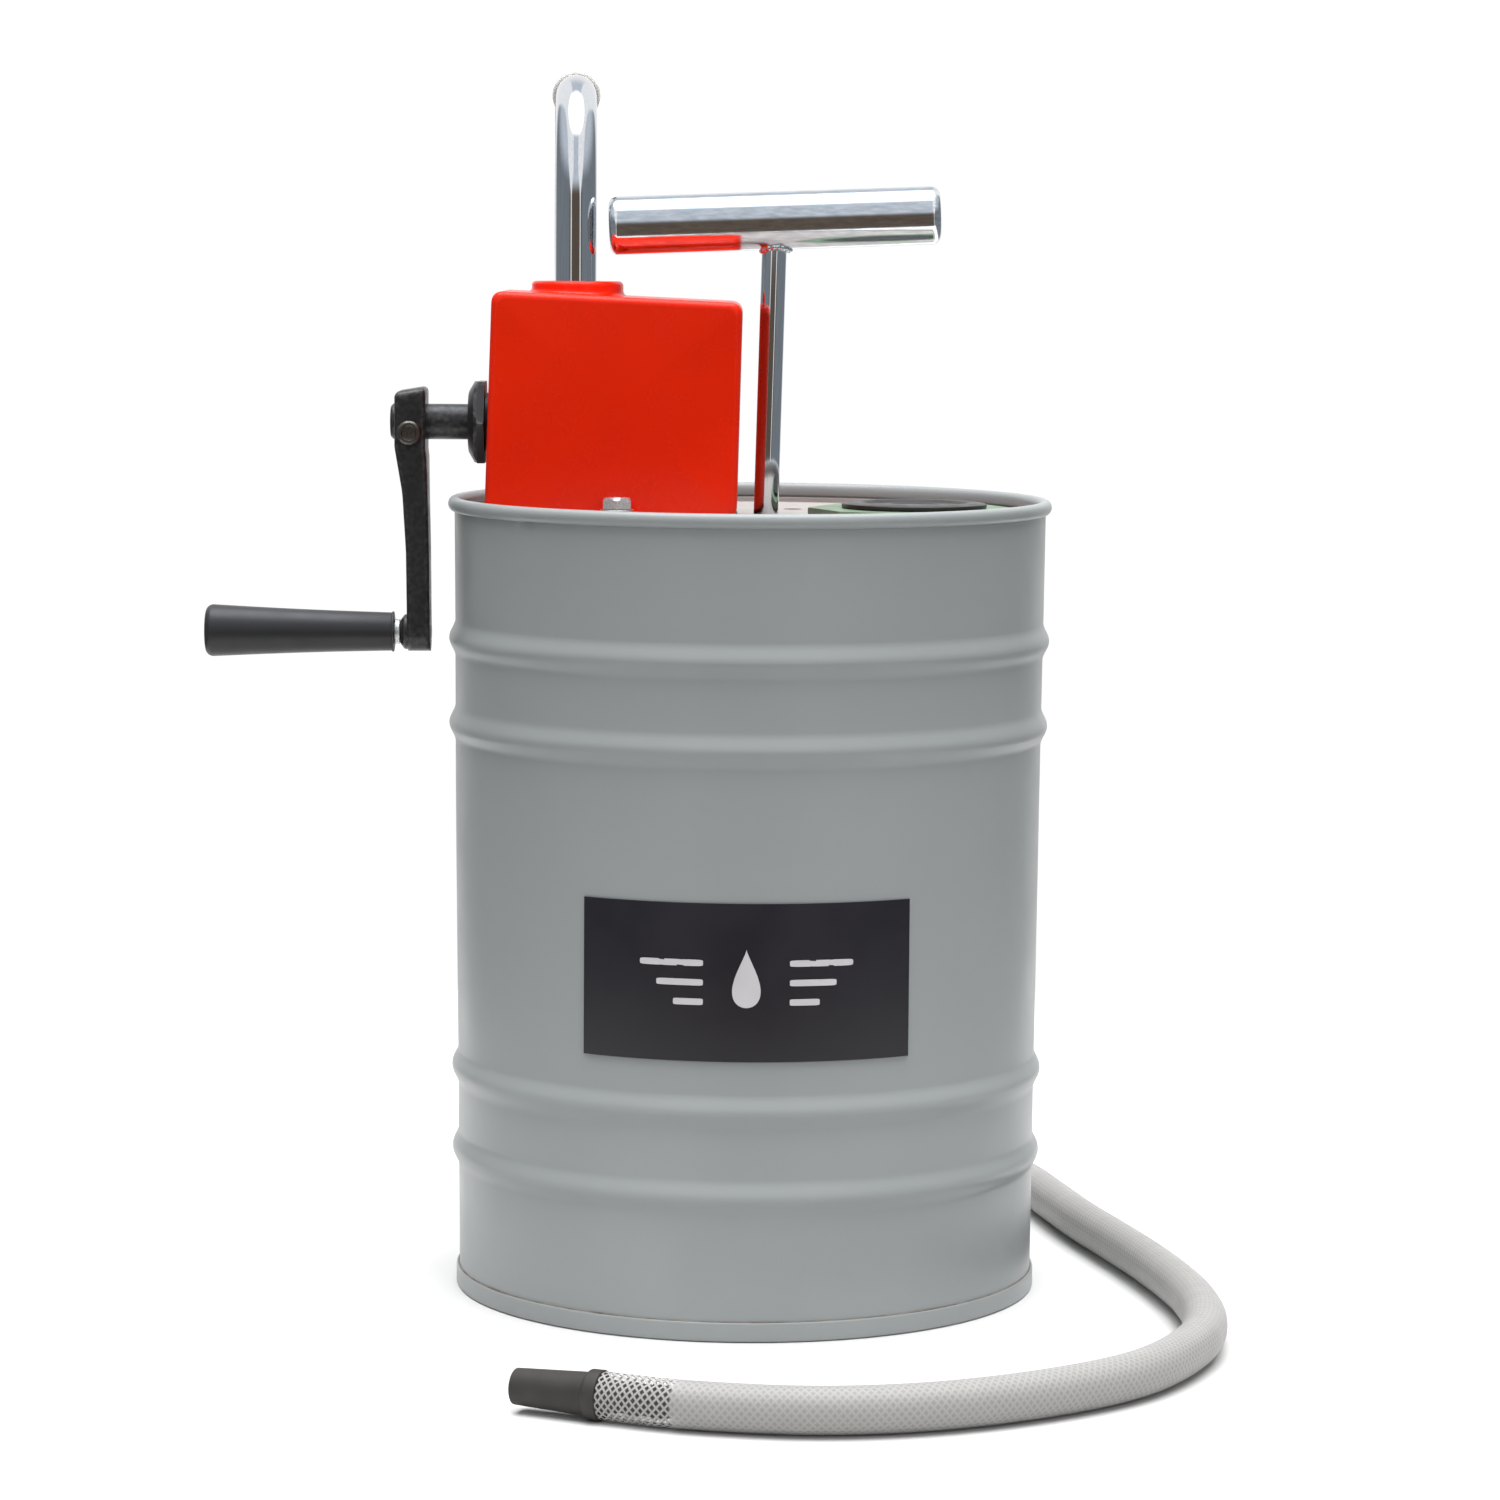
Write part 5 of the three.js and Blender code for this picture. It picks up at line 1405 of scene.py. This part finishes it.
@dataclass(frozen=True)
class CarryHandle:
    """The T-shaped carry handle: a chromed bar welded across a leaning rod.

    Attributes:
        rod_radius: the rod's radius.
        stud_radius: radius of the stud at its foot.
        bar_radius: the bar's radius.
        bar_length: its length.
        bar_edge: radius of the bar's rounded ends.
        tilt: angle of the bar from level, in degrees.
        lean: angle of the rod from upright, in degrees.
        weld: thickness of the weld bead.
    """

    rod_radius: float = 6.0
    stud_radius: float = 5.0
    bar_radius: float = 14.0
    bar_length: float = 159.0
    bar_edge: float = 4.5
    tilt: float = 2.3
    lean: float = 1.38
    weld: float = 1.7

    def tilted(self, grid: Array, centre: Array) -> Array:
        """Tilts a piece in the front view about its centre, so that its right end rises.

        Args:
            grid: the piece, about its own centre.
            centre: where that centre goes.

        Returns:
            The moved grid.
        """
        angle = math.radians(self.tilt)
        x = grid[..., 0] * math.cos(angle) - grid[..., 2] * math.sin(angle)
        z = grid[..., 0] * math.sin(angle) + grid[..., 2] * math.cos(angle)
        return np.stack([x, grid[..., 1], z], axis=-1) + centre

    def build(self) -> None:
        """Makes the bar, the rod with its stud, and the weld between them."""
        bar_span, rod_span = Span.of("handle_bar"), Span.of("handle_rod")
        centre = bar_span.mid
        half = self.bar_length / 2
        edge = self.bar_edge
        ends = np.vstack(
            [[(0, -half)], arc((self.bar_radius - edge, edge - half), edge, -90, 0, 10),
             arc((self.bar_radius - edge, half - edge), edge, 0, 90, 10), [(0, half)]]
        )
        bar = self.tilted(along_x(turned(ends, 96)), centre)
        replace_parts(make("handle_grip_bar", [bar], Paint.CHROME_BAR, Body.BASE), "handle_bar")
        stud = rod_span.low[2]
        foot = Span.of("handle_washer").high[2] + 2.1
        foot_x = rod_span.low[0] + self.rod_radius
        height = centre[2] - 5 - foot
        shoulder = eased(
            [(0, stud), (self.stud_radius, stud), (self.stud_radius, foot), (self.rod_radius, foot),
             (self.rod_radius, foot + height), (0, foot + height)], 0.5, 4,
        )
        rod = turned(shoulder, 64)
        rod[..., 0] += np.clip(rod[..., 2] - foot, 0, None) * math.tan(math.radians(self.lean))
        rod = rod + np.array([foot_x, 0, 0])
        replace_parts(make("handle_stem", [rod], Paint.CHROME, Body.BASE), "handle_rod")
        make("handle_weld", [self.weld_bead(centre)], Paint.CHROME, Body.BASE, 80)

    def weld_bead(self, centre: Array) -> Array:
        """Lays the weld round the rod where it meets the bar's underside.

        The bead's middle goes round the rod's circle at the height of the bar's surface, and its thickness
        ripples as the torch moved.

        Args:
            centre: the bar's centre.

        Returns:
            A closed grid.
        """
        angle = np.linspace(0, 2 * math.pi, 97)
        reach = self.rod_radius + 0.3
        y = reach * np.sin(angle)
        path = np.stack([reach * np.cos(angle), y, -np.sqrt(self.bar_radius**2 - y**2)], axis=1)
        thick = self.weld * (1 + 0.12 * np.cos(18 * angle))
        outward = np.stack([np.cos(angle), np.sin(angle), 0 * angle], axis=1)
        ring = carried(path, thick, outward, 16)
        ring[-1] = ring[0]
        return self.tilted(ring, centre)


# ---------------------------------------------------------------- pump housing


@dataclass(frozen=True)
class Housing:
    """The red casting: a leaning box open below, a boss for the pipe, two lugs and their zinc bolts.

    Attributes:
        wall: thickness of the casting.
        half_depth: half its depth.
        edge: radius of the edge round the front and rear faces.
        corner: radius of the front outline's corners.
        lean_left: how far the left side leans in at the top.
        lean_right: how far the right side leans out at the top.
        boss_radius: the boss's radius.
        boss_x: its middle.
        boss_flare: how far its foot flares out.
        boss_height: how far it stands over the top face's left end.
        fall: how far the top face falls from left to right.
        pipe_hole: radius of the pipe's hole.
        shaft_hole: radius of the gland's hole.
        lug_radius: radius of a lug's round end.
        lug_root: how far from the middle a lug joins the box.
    """

    wall: float = 5.0
    half_depth: float = 40.0
    edge: float = 3.4
    corner: float = 6.0
    lean_left: float = 3.3
    lean_right: float = 2.3
    boss_radius: float = 22.0
    boss_x: float = -83.5
    boss_flare: float = 5.0
    boss_height: float = 4.5
    fall: float = 5.0
    pipe_hole: float = 10.3
    shaft_hole: float = 14.3
    lug_radius: float = 10.0
    lug_root: float = 36.0

    def corners(self, span: Span, inset: float, low: float) -> list[tuple[float, float]]:
        """Lists the front outline's four corners.

        Args:
            span: the casting's box.
            inset: how far all sides are moved in.
            low: height of the bottom.

        Returns:
            (x, z) of each corner.
        """
        left, right = span.low[0], span.high[0] - self.lean_right
        return [
            (left + inset, low),
            (right - inset, low),
            (span.high[0] - inset, self.top_at(span.high[0], span) - inset),
            (left + self.lean_left + inset, self.top_at(left + self.lean_left, span) - inset),
        ]

    def top_at(self, x: float | Array, span: Span) -> float | Array:
        """Gives the height of the top face, which starts below the boss and falls towards the right.

        Args:
            x: places across the casting.
            span: the casting's box.

        Returns:
            The height at each place.
        """
        share = (x - span.low[0] - self.lean_left) / (span.size[0] - self.lean_left)
        return span.high[2] - self.boss_height - self.fall * share

    def block(self, span: Span, inset: float, low: float, edge: float, corner: float) -> Array:
        """Carries the front outline through the depth, drawn in along a quarter circle at both ends.

        The outline is full along the sides. Near the front and rear faces it is moved towards its middle by
        edge (1 - sin a), at edge (1 - cos a) from the face.

        Args:
            span: the casting's box.
            inset: how far all faces are moved in.
            low: height of the bottom.
            edge: radius of the edge round the front and rear faces.
            corner: radius of the outline's corners.

        Returns:
            A closed grid.
        """
        depth = self.half_depth - inset
        turn = np.radians(np.linspace(0, 90, 9))
        draw_in = np.concatenate([edge * (1 - np.sin(turn)), edge * (1 - np.sin(turn[::-1]))])
        y = np.concatenate([edge * (1 - np.cos(turn)) - depth, depth - edge * (1 - np.cos(turn[::-1]))])
        outline = eased(self.corners(span, inset, low), corner, 8, closed=True)
        middle = outline.mean(axis=0)
        half = (outline.max(axis=0) - outline.min(axis=0)) / 2
        scale = 1 - draw_in[:, None] / half[None]
        shape = middle + (outline[None] - middle) * scale[:, None]
        shape = np.concatenate([shape, shape[:, :1]], axis=1)
        across = np.repeat(y[:, None], shape.shape[1], axis=1)
        return capped(np.stack([shape[..., 0], across, shape[..., 1]], axis=-1))

    def boss(self, span: Span) -> Array:
        """Makes the boss: a round pad with an eased crest whose foot flares into the sloping top face.

        Args:
            span: the casting's box.

        Returns:
            A closed grid.
        """
        top = span.high[2]
        face = self.top_at(self.boss_x, span)
        radius, flare = self.boss_radius, self.boss_flare
        profile = np.vstack(
            [[(self.pipe_hole, face - 4), (radius + flare, face - 4)],
             arc((radius + flare, face + flare * 0.5), flare * 0.5 + 0.01, 270, 180, 8) - [flare * 0.5, 0],
             arc((radius - 2.2, top - 2.2), 2.2, 0, 90, 8),
             [(self.pipe_hole + 1.2, top), (self.pipe_hole, top - 1.2), (self.pipe_hole, face - 4)]]
        )
        grid = turned(profile, 96)
        share = np.clip((top - grid[..., 2]) / (top - face), 0, 1)
        grid[..., 2] += share * (self.top_at(self.boss_x + grid[..., 0], span) - face)
        return grid + np.array([self.boss_x, 0, 0])

    def lug(self, centre: Array, side: float, low: float, high: float) -> Array:
        """Makes one lug: a slab with a round end and an eased upper edge, as one outline carried upwards.

        Args:
            centre: the round end's middle.
            side: -1 for the front lug, 1 for the rear one.
            low: the slab's underside.
            high: its top.

        Returns:
            A closed grid.
        """
        reach = self.lug_radius
        start = 180 if side < 0 else 0
        tongue = arc((centre[0], centre[1]), reach, start, start + 180, 24)
        root_y = side * self.lug_root
        root = [(tongue[-1][0], root_y), (tongue[0][0], root_y)]
        outline = np.vstack([tongue, root, tongue[:1]])
        middle = np.array([centre[0], (centre[1] + root_y) / 2])
        levels = np.array([(low, 0.0), (high - 1.0, 0.0), (high - 0.3, 0.3), (high, 1.0)])
        scale = 1 - levels[:, 1:] / reach
        shape = middle + (outline[None] - middle) * scale[:, None]
        height = np.repeat(levels[:, :1], len(outline), axis=1)
        return capped(np.concatenate([shape, height[..., None]], axis=-1))

    def casting(self) -> None:
        """Makes the casting and cuts its cavity and the two bores."""
        span = Span.of("pump_housing")
        low = span.low[2]
        shaft = Span.of("crank_shaft")
        bolt = Span.of("housing_bolt_front").mid
        washer = Span.of("housing_washer_front")
        piece = make(
            "pump_casting", [self.block(span, 0, low, self.edge, self.corner)], Paint.RED, Body.BASE
        )
        cavity = self.block(span, self.wall, low - 10, 1.0, 3.0)
        bit = np.array([(0, -20), (1, -20), (1, 20), (0, 20)], float)
        pipe_x = Span.of("suction_pipe").mid[0]
        pipe_bit = turned(bit * [self.pipe_hole, 1], 48) + np.array([pipe_x, 0, span.high[2]])
        shaft_bit = along_x(turned(bit * [self.shaft_hole, 1], 48)) + np.array([span.low[0], *shaft.mid[1:]])
        drill(piece, [cavity, pipe_bit, shaft_bit])
        smooth(piece, 38)
        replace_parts(piece, "pump_housing")
        make("pump_boss", [self.boss(span)], Paint.RED, Body.BASE)
        top = washer.low[2] - 0.3
        for side, name in ((-1.0, "front"), (1.0, "rear")):
            grid = self.lug(np.array([bolt[0], side * abs(bolt[1])]), side, low, top)
            make(f"pump_lug_{name}", [grid], Paint.RED, Body.BASE)

    def fasteners(self) -> None:
        """Makes the two bolts with their washers: hexagon heads, chamfered and stamped hollow on top."""
        for end in ("front", "rear"):
            bolt, washer = Span.of(f"housing_bolt_{end}"), Span.of(f"housing_washer_{end}")
            seat, top = washer.high[2] + 0.3, bolt.high[2]
            across = bolt.size[0]
            flats = Flats(6, across / 2, 30)
            crown = across / math.sqrt(3)
            profile = np.array(
                [(0, bolt.low[2]), (3.4, bolt.low[2]), (4, bolt.low[2] + 0.6), (4, seat), (crown, seat),
                 (crown, top - 1.3), (across / 2 - 0.4, top), (4.2, top), (3.6, top - 0.5), (0, top - 0.5)]
            )
            head = turned(eased(profile, 0.25, 3), 96, flats) + np.array([*bolt.mid[:2], 0])
            piece = make(f"bolt_{end}", [head], Paint.ZINC, Body.BASE, 25)
            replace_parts(piece, f"housing_bolt_{end}")
            reach = washer.size[0] / 2
            low, high = washer.low[2], washer.high[2]
            rows = eased([(4.3, low), (reach, low), (reach, high), (4.3, high)], 0.3, 3)
            grid = turned(np.vstack([rows, rows[:1]]), 64) + np.array([*bolt.mid[:2], 0])
            piece = make(f"washer_{end}", [grid], Paint.ZINC, Body.BASE)
            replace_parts(piece, f"housing_washer_{end}")

    def gland(self) -> None:
        """Makes the black gland nut: a wide chamfered hexagon with its neck in the casting's wall."""
        span, shaft = Span.of("gland_nut"), Span.of("crank_shaft")
        packing = Span.of("gland_packing")
        across = span.size[2]
        crown = across / math.sqrt(3)
        left, right = span.low[0], span.high[0]
        hexagon = left + 8.0
        bore, neck, pocket = 8.8, 14.0, 12.3
        profile = eased(
            [(bore, left + 0.8), (bore + 0.8, left), (across / 2 - 4.8, left), (across / 2, left + 2.8),
             (crown, left + 4.6), (crown, hexagon), (neck, hexagon), (neck, right), (pocket, right),
             (pocket, packing.low[0] - 0.3), (bore, packing.low[0] - 0.3)], 0.35, 3,
        )
        grid = along_x(turned(np.vstack([profile, profile[:1]]), 96, Flats(6, across / 2, 30)))
        piece = make("gland", [grid + np.array([0, *shaft.mid[1:]])], Paint.BLACK, Body.BASE, 25)
        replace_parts(piece, "gland_nut")

    def build(self) -> None:
        """Makes the casting, its fasteners and the gland."""
        self.casting()
        self.fasteners()
        self.gland()


# ---------------------------------------------------------------- crank


@dataclass(frozen=True)
class Crank:
    """The crank: a shaft, a forged arm clamped by a cross bolt, a riveted spindle and a revolving grip.

    Attributes:
        shaft_radius: the shaft's radius outside the gear case.
        journal_radius: its radius inside.
        hub_half: half the hub's depth.
        foot_radius: radius of the arm's round foot.
        boss_radius: radius of the boss behind the grip.
        grip_bore: radius of the grip's bore.
        grip_inner: the grip's radius next to the arm.
        grip_outer: its radius at the free end.
    """

    shaft_radius: float = 8.5
    journal_radius: float = 6.0
    hub_half: float = 14.0
    foot_radius: float = 9.2
    boss_radius: float = 8.4
    grip_bore: float = 4.6
    grip_inner: float = 9.2
    grip_outer: float = 12.5

    def axis(self) -> Array:
        """Gives the shaft's axis as (y, z)."""
        return Span.of("crank_shaft").mid[1:]

    def foot_height(self) -> float:
        """Gives the height of the grip's axis."""
        return float(Span.of("crank_grip").mid[2])

    def shaft(self) -> None:
        """Makes the shaft: chamfered outer end with a centre hole, and a thinner journal in the gear case."""
        span, case = Span.of("crank_shaft"), Span.of("gear_case")
        step = case.low[0] - 0.6
        end = span.low[0]
        profile = eased(
            [(0, end + 2.2), (1.6, end + 0.6), (2.2, end), (self.shaft_radius - 1.2, end),
             (self.shaft_radius, end + 1.2), (self.shaft_radius, step), (self.journal_radius, step),
             (self.journal_radius, span.high[0]), (0, span.high[0])], 0.3, 3,
        )
        grid = along_x(turned(profile, 64)) + np.array([0, *self.axis()])
        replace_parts(make("shaft", [grid], Paint.BLACK, Body.CRANK), "crank_shaft")

    def section(self, left: Array, right: Array, half: Array, z: Array, corner: float) -> Array:
        """Carries a rounded rectangle upwards.

        Each level's outline is a rectangle from left to right and from -half to +half, whose corners are
        quarter circles of one radius, or less where the rectangle is narrow.

        Args:
            left: the section's left side at each level.
            right: its right side.
            half: half its depth.
            z: the levels.
            corner: radius of its upright edges.

        Returns:
            A closed grid.
        """
        turn = np.radians(np.concatenate([np.linspace(a, a + 90, 7) for a in (0, 90, 180, 270)]))
        sign_x = np.repeat([1, -1, -1, 1], 7)
        sign_y = np.repeat([1, 1, -1, -1], 7)
        radius = np.minimum(corner, np.minimum(half, (right - left) / 2) * 0.98)[:, None]
        middle, wide = ((left + right) / 2)[:, None], ((right - left) / 2)[:, None]
        x = middle + sign_x * (wide - radius) + radius * np.cos(turn)
        y = sign_y * (half[:, None] - radius) + radius * np.sin(turn)
        grid = np.stack([x, y, np.repeat(z[:, None], x.shape[1], axis=1)], axis=-1)
        return capped(np.concatenate([grid, grid[:, :1]], axis=1))

    def arm(self) -> None:
        """Makes the arm: a hub block, a shoulder under the bolt, and a blade that tapers to a round foot."""
        span = Span.of("crank_arm")
        foot = self.foot_height()
        hub_left, hub_right = span.low[0], span.low[0] + 14.8
        top = span.high[2]
        low = foot - self.foot_radius
        z = np.unique(np.concatenate([low + self.foot_radius * (1 - np.cos(np.linspace(0, math.pi / 2, 14))),
                                      np.linspace(foot, top - 30, 24), np.linspace(top - 30, top - 3, 16),
                                      top - 3 + 3 * np.sin(np.linspace(0, math.pi / 2, 8))]))
        left = np.interp(z, [low, 357, 385, 407, top], np.array([5.8, 5.2, 3.5, 0, 0]) + hub_left)
        right = np.interp(z, [low, 357, 402, 405, top], np.array([2.0, 1.5, 0.5, 0, 0]) + hub_right)
        half = np.interp(z, [foot, 385, 407, top], [self.foot_radius, 10.7, self.hub_half, self.hub_half])
        round_foot = np.sqrt(np.clip(self.foot_radius**2 - (z - foot) ** 2, 0.04, None))
        half = np.where(z < foot, round_foot, half)
        crest = 2.5 * (1 - np.sqrt(np.clip(1 - ((z - top + 3) / 3.02).clip(0, 1) ** 2, 0, 1)))
        body = self.section(left + crest, right - crest, half - 1.6 * crest, z, 2.2)
        slope = np.clip((body[..., 2] - 407) / (top - 407), 0, 1) * (hub_right - body[..., 0]) / 14.8
        body[..., 2] -= 2.5 * slope
        body[..., 1] += self.axis()[0]
        boss_profile = eased(
            [(0, hub_left + 2.3), (self.boss_radius - 2.5, hub_left + 2.3),
             (self.boss_radius, hub_left + 4.2), (self.boss_radius, hub_left + 9), (0, hub_left + 9)], 0.6, 4,
        )
        boss = along_x(turned(boss_profile, 64)) + np.array([0, self.axis()[0], foot])
        piece = make("arm", [body, boss], Paint.BLACK, Body.CRANK)
        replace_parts(piece, "crank_arm")

    def cross_bolt(self) -> None:
        """Makes the round-headed cross bolt with its hollow, and the nut behind the hub."""
        span, nut = Span.of("crank_bolt"), Span.of("crank_bolt_nut")
        front, back = span.low[1], span.high[1]
        reach = span.size[0] / 2
        seat = front + 4.5
        profile = eased(
            [(0, front + 1.4), (reach - 2.6, front + 1.4), (reach - 2.2, front), (reach - 1, front),
             (reach, front + 1), (reach, seat), (4, seat), (4, back - 0.6), (3.4, back), (0, back)], 0.3, 4,
        )
        grid = along_y(turned(profile, 64)) + np.array([span.mid[0], 0, span.mid[2]])
        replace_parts(make("cross_bolt", [grid], Paint.SCREW, Body.CRANK), "crank_bolt")
        across = nut.size[0]
        low, high = nut.low[1], nut.high[1]
        crown = across / math.sqrt(3)
        profile = eased(
            [(4.3, low), (across / 2 - 0.4, low), (crown, low + 1.2), (crown, high - 1.2),
             (across / 2 - 0.4, high), (4.3, high)], 0.25, 3,
        )
        rows = np.vstack([profile, profile[:1]])
        grid = along_y(turned(rows, 96, Flats(6, across / 2, 30))) + np.array([nut.mid[0], 0, nut.mid[2]])
        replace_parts(make("cross_bolt_nut", [grid], Paint.BLACK, Body.CRANK, 25), "crank_bolt_nut")

    def grip(self) -> None:
        """Makes the tapered grip with its rounded end, and the zinc spindle that shows beside the arm."""
        span, spindle = Span.of("crank_grip"), Span.of("grip_spindle")
        outer, inner = span.low[0], span.high[0]
        y, z = self.axis()[0], self.foot_height()
        edge = 3.6
        taper = np.linspace(0, 1, 24)[:, None]
        start, end = np.array([self.grip_outer, outer + edge]), np.array([self.grip_inner, inner - 1.2])
        side = start + (end - start) * taper
        side[:, 0] -= 0.35 * np.sin(taper[:, 0] * math.pi)
        profile = np.vstack(
            [[(0, outer + 0.5)], arc((5.0, outer + 30), 30, 269, 274, 5), [(self.grip_outer - edge, outer)],
             arc((self.grip_outer - edge, outer + edge), edge, 280, 360, 10), side[1:],
             [(self.grip_inner + 0.5, inner - 0.9), (self.grip_inner + 0.5, inner - 0.2),
              (self.grip_inner - 0.6, inner), (self.grip_bore, inner), (self.grip_bore, outer + 12.6),
              (6.1, outer + 12.6), (6.1, outer + 7.4), (0, outer + 7.4)]]
        )
        grid = along_x(turned(profile, 96)) + np.array([0, y, z])
        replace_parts(make("grip_handle", [grid], Paint.GRIP, Body.GRIP), "crank_grip")
        far, near = spindle.low[0], Span.of("crank_arm").high[0] + 0.3
        collar = span.high[0] + 0.3
        boss = Span.of("crank_arm").low[0] + 2.3
        profile = eased(
            [(0, far), (5.5, far), (5.5, far + 4), (4, far + 4), (4, collar), (6, collar), (6, boss - 0.3),
             (4, boss - 0.3), (4, near - 0.4), (3.4, near), (0, near)], 0.3, 3,
        )
        grid = along_x(turned(profile, 48)) + np.array([0, y, z])
        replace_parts(make("spindle", [grid], Paint.ZINC, Body.CRANK), "grip_spindle")

    def build(self) -> None:
        """Makes every piece of the crank."""
        self.shaft()
        self.arm()
        self.cross_bolt()
        self.grip()


# ---------------------------------------------------------------- outlet pipe


@dataclass(frozen=True)
class Gooseneck:
    """The chromed outlet pipe: up from the gear case, through a quarter bend and into the hose.

    Attributes:
        outer: outside radius.
        inner: inside radius.
        bend: radius of the bend.
        leg_height: height of the level leg.
        leg_end: how far the leg reaches to the rear.
        turn: how far the leg turns from straight back, in degrees.
        step: distance between two rings of the mesh.
        sides: steps round the pipe.
    """

    outer: float = 10.0
    inner: float = 8.0
    bend: float = 50.0
    leg_height: float = 576.0
    leg_end: float = 84.0
    turn: float = 2.2
    step: float = 2.5
    sides: int = 64

    def build(self) -> None:
        """Carries the pipe's two circles along a straight, a quarter circle and a straight."""
        span = Span.of("outlet_pipe")
        foot = span.low[2]
        rise = np.arange(foot, self.leg_height - self.bend, self.step)
        angle = np.linspace(0, math.pi / 2, 32)
        leg = np.linspace(self.bend, self.leg_end, 14)[1:]
        y = np.concatenate([0 * rise, self.bend * (1 - np.cos(angle)), leg])
        bent = self.leg_height - self.bend + self.bend * np.sin(angle)
        z = np.concatenate([rise, bent, 0 * leg + self.leg_height])
        swing = math.radians(self.turn)
        centre = Span.of("suction_pipe").mid[0]
        path = np.stack([centre - y * math.sin(swing), y * math.cos(swing), z], axis=1)
        side = np.repeat([[math.cos(swing), math.sin(swing), 0]], len(path), axis=0)
        outer = carried(path, np.full(len(path), self.outer), side, self.sides)
        inner = carried(path, np.full(len(path), self.inner), side, self.sides)
        piece = make("gooseneck", [hollow(outer, inner)], Paint.CHROME, Body.BASE, 60)
        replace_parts(piece, "outlet_pipe")


# ---------------------------------------------------------------- hidden pieces


class InnerWorks:
    """The pieces under the cover and inside the casting: they keep their CAD shape and get a finish.

    Attributes:
        FINISHES: the finish for every node whose name starts so.
    """

    FINISHES: dict[str, Paint] = {
        "gear_case": Paint.IRON,
        "gear_case_cover": Paint.IRON,
        "gear_case_screw": Paint.STEEL,
        "case_bolt": Paint.ZINC,
        "drive_bush": Paint.BRONZE,
        "driven_bush": Paint.BRONZE,
        "drive_gear": Paint.STEEL,
        "driven_gear": Paint.STEEL,
        "idler_shaft": Paint.STEEL,
        "gland_packing": Paint.FIBRE,
        "housing_gasket": Paint.FIBRE,
        "housing_nut": Paint.ZINC,
        "handle_washer": Paint.ZINC,
        "handle_nut": Paint.ZINC,
        "suction": Paint.ZINC,
        "filler_cap_seal": Paint.SEAL,
    }

    def dress(self, nodes: dict[str, bpy.types.Object]) -> None:
        """Gives each hidden node its material.

        Args:
            nodes: the frame's CAD objects by name.
        """
        for start, paint in self.FINISHES.items():
            for name in (name for name in nodes if name.startswith(start)):
                mesh = nodes[name].data
                mesh.materials.clear()
                mesh.materials.append(paint.value.material())
                LOG.info("%s: %s", name, paint.value.name)


def main() -> None:
    """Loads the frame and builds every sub-assembly in order."""
    logging.basicConfig(level=logging.INFO, format="%(message)s")
    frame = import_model()
    Studio().build()
    Hose().build()
    Drum().build()
    Filler().build()
    CarryHandle().build()
    Housing().build()
    Crank().build()
    Gooseneck().build()
    InnerWorks().dress(frame["nodes"])


if __name__ == "__main__":
    main()
